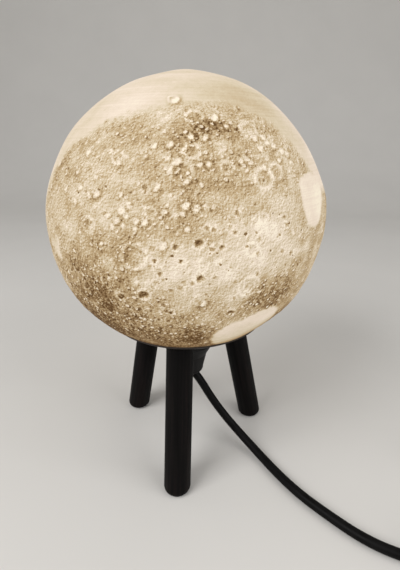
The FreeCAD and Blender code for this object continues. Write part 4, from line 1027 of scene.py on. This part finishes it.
def planet_shell(settings):
    """The globe's closed wall: relief outside, smooth inside, open below."""
    relief = planet_relief(settings)
    rings, segments = settings.rings, settings.segments
    centre = np.array(GLOBE_CENTRE)
    outer = centre + relief.ways * (GLOBE_RADIUS + relief.height * MM)[..., None]
    points = [tuple(outer[0, 0]), *map(tuple, outer[1:].reshape(-1, 3))]
    faces = dome_faces(0, rings, segments, inward=False)

    inner_rings, inner_segments = rings // INNER_STEP, segments // INNER_STEP
    rim = math.acos(-(GLOBE_CENTRE.z - GLOBE_RIM_LEVEL) / GLOBE_INNER_RADIUS)
    first = len(points)
    points.append(tuple(centre + (0, 0, GLOBE_INNER_RADIUS)))
    for row in range(1, inner_rings + 1):
        polar = rim * row / inner_rings
        for turn in relief.turn[:INNER_STEP * inner_segments:INNER_STEP]:
            way = np.array((math.sin(polar) * math.cos(turn), math.sin(polar) * math.sin(turn),
                            math.cos(polar)))
            points.append(tuple(centre + GLOBE_INNER_RADIUS * way))
    faces += dome_faces(first, inner_rings, inner_segments, inward=True)

    for column in range(inner_segments):
        edge = [dome_index(0, segments, rings, INNER_STEP * column + k)
                for k in range(INNER_STEP + 1)]
        faces.append((*edge[::-1], *(dome_index(first, inner_segments, inner_rings, column + k)
                                     for k in range(2))))

    mesh = new_mesh("planet_globe", points, faces)
    for key, value in INNER_FINISH.items():
        grid = getattr(relief, key)
        values = [grid[0, 0], *grid[1:].ravel(), *[value] * (len(points) - first)]
        layer = mesh.attributes.new(key, "FLOAT", "POINT")
        layer.data.foreach_set("value", np.array(values, dtype=np.float32))
    mesh.update()
    return mesh


# ------------------------------------------------------------ cord
def coil_place(angle):
    """The coil's radius and level at an angle along its turns, in millimetres."""
    rate = COIL_PITCH / (2 * math.pi)
    climb = max(0.0, min(1.0, (angle - COIL_IN) / math.pi))
    radius = (COIL_RADIUS - rate * COIL_IN - rate * math.pi * (climb - climb * climb)
              + rate * max(COIL_IN - angle, angle - COIL_IN - math.pi, 0.0))
    level = COIL_LOW + COIL_LAYER * (3 - 2 * climb) * climb * climb
    return radius, level


def coil_spot(angle, spread=1.0):
    """The place of the coil at an angle; spread makes up for the spline's cut inside its points."""
    radius, level = coil_place(angle)
    return (COIL_CENTRE[0] + radius * spread * math.cos(angle),
            COIL_CENTRE[1] + radius * spread * math.sin(angle), level)


def coil_run(angle, side, length):
    """A point straight off one end of the coil; side is -1 at its start and 1 at its end."""
    step = 1e-4
    here, back = (Vector(coil_spot(turn)) for turn in (angle, angle - side * step))
    return tuple(here + (here - back).normalized() * length)


def mains_cord_points():
    """Control points of the cord from the switch through the coil to the plug, in millimetres."""
    count = math.ceil(COIL_END / (2 * math.pi) * COIL_POINTS_PER_TURN)
    step = COIL_END / count
    spread = 1.0 / (0.75 + 0.25 * math.cos(step))
    points = list(LEAD_POINTS)
    points.append(coil_run(0.0, -1.0, COIL_LEAD))
    for index in range(count + 1):
        points.append(coil_spot(index * step, spread if 0 < index < count else 1.0))
    points.append(coil_run(COIL_END, 1.0, COIL_LEAD_OUT))
    points.extend(TAIL_POINTS)
    return points


def cord_line(context, name, points, diameter, material):
    """A cord along one smooth line."""
    curve = bpy.data.curves.new(name, "CURVE")
    curve.dimensions = "3D"
    curve.resolution_u = 8
    curve.bevel_depth = diameter / 2
    curve.bevel_resolution = 5
    curve.use_fill_caps = True
    spline = curve.splines.new("NURBS")
    spline.points.add(len(points) - 1)
    for point, spot in zip(spline.points, points):
        point.co = (*(MM * c for c in spot), 1.0)
    spline.order_u = 3
    spline.use_endpoint_u = True
    curve.materials.append(material)
    piece = bpy.data.objects.new(name, curve)
    context.scene.collection.objects.link(piece)
    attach(piece, "stand")
    return piece


# ------------------------------------------------------------ operators
class LAMP_OT_stage(Operator):
    """Floor, backdrop, soft lights and the camera"""

    bl_idname = "planet_lamp.stage"
    bl_label = "Stage"

    def execute(self, context):
        settings = context.scene.lamp_stage
        self.floor(context, opaque(settings.floor_colour))
        self.light(context, "key_light", KEY_SPOT, KEY_SIZE, settings.key_power)
        self.light(context, "fill_light", FILL_SPOT, FILL_SIZE, settings.fill_power)
        self.sky(context, settings.sky_strength, opaque(settings.floor_colour))
        self.camera(context)
        context.scene.view_settings.view_transform = "Standard"
        return {"FINISHED"}

    def floor(self, context, colour):
        """A floor that curves up into a plain backdrop."""
        profile = [(FLOOR_FRONT, FLOOR_LEVEL), (BACKDROP_FOOT, FLOOR_LEVEL)]
        for k in range(1, BACKDROP_STEPS + 1):
            rise = math.pi / 2 * k / BACKDROP_STEPS
            profile.append((BACKDROP_FOOT + BACKDROP_ROUNDING * math.sin(rise),
                            FLOOR_LEVEL + BACKDROP_ROUNDING * (1 - math.cos(rise))))
        profile.append((BACKDROP_FOOT + BACKDROP_ROUNDING, BACKDROP_TOP))
        points = [(x, y, z) for y, z in profile for x in (-FLOOR_HALF_WIDTH, FLOOR_HALF_WIDTH)]
        faces = [(2 * k, 2 * k + 1, 2 * k + 3, 2 * k + 2) for k in range(len(profile) - 1)]
        mesh = new_mesh("studio_floor", points, faces)
        mesh.polygons.foreach_set("use_smooth", [True] * len(faces))
        finish = Finish("studio_paper", Roughness=0.9, Specular_IOR_Level=0.1)
        tooth = finish.noise(6.0, detail=3.0)
        finish.paint(Base_Color=finish.ramp(tooth, (0.3, tinted(colour, 0.97)), (0.7, colour)))
        mesh.materials.append(finish.material)
        piece = bpy.data.objects.new("studio_floor", mesh)
        context.scene.collection.objects.link(piece)

    def light(self, context, name, spot, size, power):
        """A square soft light that faces the globe."""
        lamp = bpy.data.lights.new(name, "AREA")
        lamp.energy, lamp.size = power, size
        piece = bpy.data.objects.new(name, lamp)
        piece.location = spot
        aim = LIGHT_AIM - Vector(spot)
        piece.rotation_euler = aim.to_track_quat("-Z", "Y").to_euler()
        context.scene.collection.objects.link(piece)

    def sky(self, context, strength, floor_colour):
        """Even light from all round; where it is seen itself, it looks like the far floor."""
        world = bpy.data.worlds.new("studio_sky")
        world.use_nodes = True
        work = NodeWork(world.node_tree)
        light = work.tree.nodes["Background"]
        light.inputs["Color"].default_value = SKY_TINT
        light.inputs["Strength"].default_value = strength
        seen = work.add("ShaderNodeBackground", {
            "Color": floor_colour, "Strength": FAR_FLOOR_SHARE * strength})
        rays = work.add("ShaderNodeLightPath").outputs
        direct = rays["Is Camera Ray"]
        for kind in ("Is Glossy Ray", "Is Transmission Ray"):
            direct = work.math("MAXIMUM", direct, rays[kind])
        mixed = work.add("ShaderNodeMixShader", {
            0: direct, 1: light.outputs[0], 2: seen.outputs[0]})
        work.tree.links.new(mixed.outputs[0], work.tree.nodes["World Output"].inputs["Surface"])
        context.scene.world = world

    def camera(self, context):
        """The view of the lamp from in front and a little above its globe's middle."""
        lens = bpy.data.cameras.new("camera")
        lens.sensor_width = 36.0
        lens.lens = CAMERA_LENS
        lens.shift_y = CAMERA_SHIFT
        lens.clip_start = 0.01
        piece = bpy.data.objects.new("camera", lens)
        piece.location = CAMERA_SPOT
        piece.rotation_euler = Euler(CAMERA_TURN)
        context.scene.collection.objects.link(piece)
        context.scene.camera = piece


class LAMP_OT_cords(Operator):
    """Cord from the holder to the switch, and from there through its coil to the plug"""

    bl_idname = "planet_lamp.cords"
    bl_label = "Cords"

    def execute(self, context):
        settings = context.scene.lamp_cord
        sheath = cord_sheath("cord_sheath", settings.sheath_colour)
        lamp = cord_line(context, "lamp_cord_line", LAMP_CORD_POINTS, settings.diameter, sheath)
        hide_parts("lamp_cord")
        mains = cord_line(context, "mains_cord_line", mains_cord_points(), settings.diameter,
                          sheath)
        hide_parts("mains_lead", "cord_coil", "cord_tail")
        return {"FINISHED"}


class LAMP_OT_globe(Operator):
    """Printed globe with its relief and glow"""

    bl_idname = "planet_lamp.globe"
    bl_label = "Globe"

    def execute(self, context):
        settings = context.scene.lamp_globe
        wall = printed_planet("globe_print", settings)
        globe = placed(context, "planet_globe", planet_shell(settings), "globe",
                       wall)
        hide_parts("globe_shell")
        return {"FINISHED"}


class LAMP_OT_stand(Operator):
    """Stained legs, the base and its leg screws"""

    bl_idname = "planet_lamp.stand"
    bl_label = "Legs and base"

    def execute(self, context):
        settings = context.scene.lamp_stand
        for name, turn in LEG_TURNS.items():
            wood = stained_wood("stained_" + name, turn, settings.stain_colour,
                                settings.grain_colour)
            coat(wood, name)
        coat(moulded_plastic("base_plastic", settings.base_colour, roughness=0.5, texture=700.0,
                             depth=0.0001), "base_cap")
        steel = drawn_metal("screw_steel", STEEL, roughness=0.32)
        screw = cross_screw("leg_screw", head=4 * MM, head_height=3 * MM, shank=2 * MM,
                            length=26 * MM, slot_depth=1.9 * MM)
        mesh = grown(context, "leg_screw_set", ring_of_copies(), screw, steel, Count=3,
                     Radius=FOOT_CIRCLE - LEG_SCREW_SEAT * math.sin(LEG_SPLAY),
                     Height=LEG_SCREW_SEAT * math.cos(LEG_SPLAY), Lean=-LEG_SPLAY,
                     First_turn=math.radians(-90))
        screws = placed(context, "leg_screw_set", mesh, "stand", smooth=False)
        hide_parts("leg_screws")
        return {"FINISHED"}


class LAMP_OT_holder(Operator):
    """Lamp holder: cap, sleeve, ribbed clamp rings, insert and its metal parts"""

    bl_idname = "planet_lamp.holder"
    bl_label = "Lamp holder"

    def execute(self, context):
        settings = context.scene.lamp_stand
        black = moulded_plastic("holder_plastic", settings.holder_colour, roughness=0.42,
                                texture=1100.0, depth=0.00005, gloss=0.16)
        coat(black, "holder_cap", "holder_sleeve", "ring_upper", "ring_lower", "cord_grip",
             "grip_nut")
        coat(moulded_plastic("insert_plastic", shade(214, 208, 196), roughness=0.4, depth=0.00004,
                             wear=0.06), "holder_insert")
        coat(drawn_metal("contact_brass", BRASS, roughness=0.28),
             "thread_shell", "centre_contact", "holder_terminals")
        coat(drawn_metal("terminal_steel", STEEL, roughness=0.34), "terminal_screws")
        coat(moulded_plastic("wire_sheath", shade(96, 58, 36), roughness=0.42, texture=1500.0,
                             depth=0.00003), "holder_wires")
        rib = rounded_block("ring_rib", (1.2 * MM, 1.5 * MM, 5.0 * MM), 0.4 * MM)
        tree = ring_of_copies()
        for name, level in zip(("ring_ribs_lower", "ring_ribs_upper"), RING_LEVELS):
            mesh = grown(context, name, tree, rib.copy(), black, Count=settings.ring_ribs,
                         Radius=RING_RADIUS, Height=level, Lean=0.0, First_turn=0.0)
            placed(context, name, mesh, "stand")
        return {"FINISHED"}


class LAMP_OT_bulb(Operator):
    """Bulb: threaded cap, finned housing and opal dome"""

    bl_idname = "planet_lamp.bulb"
    bl_label = "Bulb"

    def execute(self, context):
        settings = context.scene.lamp_bulb
        nickel = drawn_metal("bulb_cap_metal", NICKEL, roughness=0.27, stretch=(900.0, 900.0, 60.0))
        white = moulded_plastic("bulb_white", shade(226, 223, 216), roughness=0.36, depth=0.00004,
                                wear=0.05)
        coat(nickel, "bulb_tip")
        coat(moulded_plastic("bulb_insulator", shade(34, 30, 30), roughness=0.25, texture=1500.0,
                             depth=0.00003), "bulb_insulator")
        coat(white, "bulb_housing")
        coat(opal_dome("bulb_opal", settings), "bulb_dome")
        coat(circuit_board("led_board", WHITE_BOARD, WHITE_BOARD_PADS), "led_board")
        coat(circuit_board("driver_board", shade(38, 92, 62), shade(86, 140, 92)), "driver_board")
        cap = placed(context, "bulb_thread", self.thread(settings.thread_pitch), "bulb",
                     nickel)
        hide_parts("bulb_screw_cap")
        fin = rounded_block("housing_fin", (1.6 * MM, 1.0 * MM, 27.0 * MM), 0.35 * MM)
        mesh = grown(context, "housing_fins", ring_of_copies(), fin, white, Count=settings.fins,
                     Radius=FIN_RADIUS, Height=FIN_LEVEL, Lean=FIN_LEAN, First_turn=0.0)
        placed(context, "housing_fins", mesh, "bulb")
        return {"FINISHED"}

    def thread(self, pitch):
        """The bulb's rolled screw cap."""
        (low, high), rows, segments = BULB_CAP_LEVELS, 120, 72
        depth, taper = 0.52 * MM, 0.95 * MM
        nose, skirt = 0.1, 0.14  # shares of the height over which the thread fades
        points, faces = [], []
        for row in range(rows + 1):
            share = row / rows
            level = low + (high - low) * share
            fade = min(1.0, share / nose, (1 - share) / skirt)
            middle = BULB_CAP_RADIUS - taper * max(0.0, 1 - share / nose)
            for k in range(segments):
                turn = 2 * math.pi * k / segments
                radius = middle + depth * fade * math.cos(2 * math.pi * level / pitch - turn)
                points.append((radius * math.cos(turn), radius * math.sin(turn), level))
        for row in range(rows):
            for k in range(segments):
                a, b = row * segments + k, row * segments + (k + 1) % segments
                faces.append((a, b, b + segments, a + segments))
        faces.append(tuple(range(segments))[::-1])
        faces.append(tuple(rows * segments + k for k in range(segments)))
        return new_mesh("bulb_thread", points, faces)


class LAMP_OT_switch(Operator):
    """Inline switch at the end of the lamp's cord, with its rocker and marks"""

    bl_idname = "planet_lamp.switch"
    bl_label = "Switch"

    def execute(self, context):
        settings = context.scene.lamp_fittings
        coat(moulded_plastic("switch_plastic", settings.switch_colour, roughness=0.5, texture=800.0,
                             depth=0.0001), "switch_base", "switch_cover")
        coat(moulded_plastic("rocker_plastic", tinted(settings.switch_colour, 0.75), roughness=0.32,
                             texture=1200.0, depth=0.00004), "switch_rocker")
        coat(drawn_metal("pin_steel", STEEL, stretch=(60.0, 900.0, 60.0)), "rocker_pin")
        coat(drawn_metal("switch_brass", BRASS, roughness=0.28), "switch_contacts")
        coat(moulded_plastic("switch_wire_sheath", shade(40, 66, 120), roughness=0.42,
                             texture=1500.0, depth=0.00003), "switch_wires")
        coat(drawn_metal("case_screw_steel", DULL_STEEL, roughness=0.35), "switch_screws")
        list(self.marks(context))
        return {"FINISHED"}

    def marks(self, context):
        """The line and the circle for on and off, on the rocker's two slopes."""
        paint = moulded_plastic("mark_paint", shade(212, 210, 204), roughness=0.6, texture=1600.0,
                                depth=0.00003, wear=0.06)
        line = rounded_block("rocker_mark_on", (3.4 * MM, 0.7 * MM, 0.4 * MM), 0.12 * MM)
        line.transform(Matrix.Translation(ON_MARK_SPOT))
        circle = round_ring("rocker_mark_off", 1.5 * MM, 0.55 * MM)
        circle.transform(Matrix.Translation(OFF_MARK_SPOT) @ Matrix.Rotation(ROCKER_TILT, 4, "Y")
                         @ Matrix.Rotation(math.radians(90), 4, "X"))
        return [placed(context, mesh.name, mesh, "rocker", paint)
                for mesh in (line, circle)]


class LAMP_OT_plug(Operator):
    """Plug at the end of the mains cord, with its grip ribs and pins, and the tie of the coil"""

    bl_idname = "planet_lamp.plug"
    bl_label = "Plug and tie"

    def execute(self, context):
        settings = context.scene.lamp_fittings
        rubber = moulded_plastic("plug_plastic", settings.plug_colour, roughness=0.55,
                                 texture=700.0, depth=0.00012)
        coat(rubber, "plug_body")
        coat(drawn_metal("pin_metal", PLATED_PIN, roughness=0.22, stretch=(900.0, 60.0, 900.0)),
             "plug_pins")
        coat(moulded_plastic("pin_sleeve_plastic", shade(24, 23, 23), roughness=0.38,
                             texture=1500.0, depth=0.00003), "pin_sleeves")
        coat(woven_strap("tie_strap", shade(38, 37, 38)), "coil_tie")
        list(self.grips(context, settings.plug_ribs, rubber))
        return {"FINISHED"}

    def grips(self, context, count, rubber):
        """Ribs on the plug's two sides and rings round its tapered cord end."""
        tree = row_of_copies()
        rib = rounded_block("plug_rib", (1.4 * MM, 1.2 * MM, 8.0 * MM), 0.4 * MM)
        rows = []
        for name, side in (("plug_ribs_left", -1), ("plug_ribs_right", 1)):
            start = (PLUG_X + side * PLUG_HALF_WIDTH, PLUG_RIBS_START, PLUG_LEVEL)
            rows.append((name, rib.copy(), count, start, PLUG_RIBS_LENGTH / max(1, count - 1), 0.0))
        ring = round_ring("plug_ring", 4.75 * MM, 1.3 * MM)
        rows.append(("plug_rings", ring, PLUG_RING_COUNT, (PLUG_X, PLUG_RINGS_START, PLUG_LEVEL),
                     PLUG_RING_STEP, PLUG_RING_GROWTH))
        pieces = []
        for name, shape, copies, start, step, growth in rows:
            mesh = grown(context, name, tree, shape, rubber, Count=copies, Start=Vector(start) * MM,
                         Step=Vector((0, step, 0)) * MM, Growth=growth)
            pieces.append(placed(context, name, mesh, "stand"))
        return pieces


OPERATORS = (LAMP_OT_stage, LAMP_OT_cords, LAMP_OT_globe, LAMP_OT_stand, LAMP_OT_holder,
             LAMP_OT_bulb, LAMP_OT_switch, LAMP_OT_plug)


class LAMP_PT_panel(Panel):
    """The lamp's pieces and their settings"""

    bl_idname = "LAMP_PT_panel"
    bl_label = "Planet lamp"
    bl_space_type = "VIEW_3D"
    bl_region_type = "UI"
    bl_category = "Planet lamp"

    def draw(self, context):
        for operator in OPERATORS:
            self.layout.operator(operator.bl_idname)
        for name, group in SETTINGS:
            box = self.layout.box()
            box.label(text=group.__doc__)
            for key in group.__annotations__:
                box.prop(getattr(context.scene, name), key)


def register():
    """Registers the settings, operators and panel."""
    for name, group in SETTINGS:
        bpy.utils.register_class(group)
        setattr(bpy.types.Scene, name, PointerProperty(type=group))
    for made in (*OPERATORS, LAMP_PT_panel):
        bpy.utils.register_class(made)


def unregister():
    """Takes them away again."""
    for made in (LAMP_PT_panel, *reversed(OPERATORS)):
        bpy.utils.unregister_class(made)
    for name, group in reversed(SETTINGS):
        delattr(bpy.types.Scene, name)
        bpy.utils.unregister_class(group)


def main():
    """Builds the lamp, piece by piece."""
    register()
    bpy.ops.planet_lamp.stage()
    bpy.ops.planet_lamp.cords()
    bpy.ops.planet_lamp.globe()
    bpy.ops.planet_lamp.stand()
    bpy.ops.planet_lamp.holder()
    bpy.ops.planet_lamp.bulb()
    bpy.ops.planet_lamp.switch()
    bpy.ops.planet_lamp.plug()


if __name__ == "__main__":
    main()
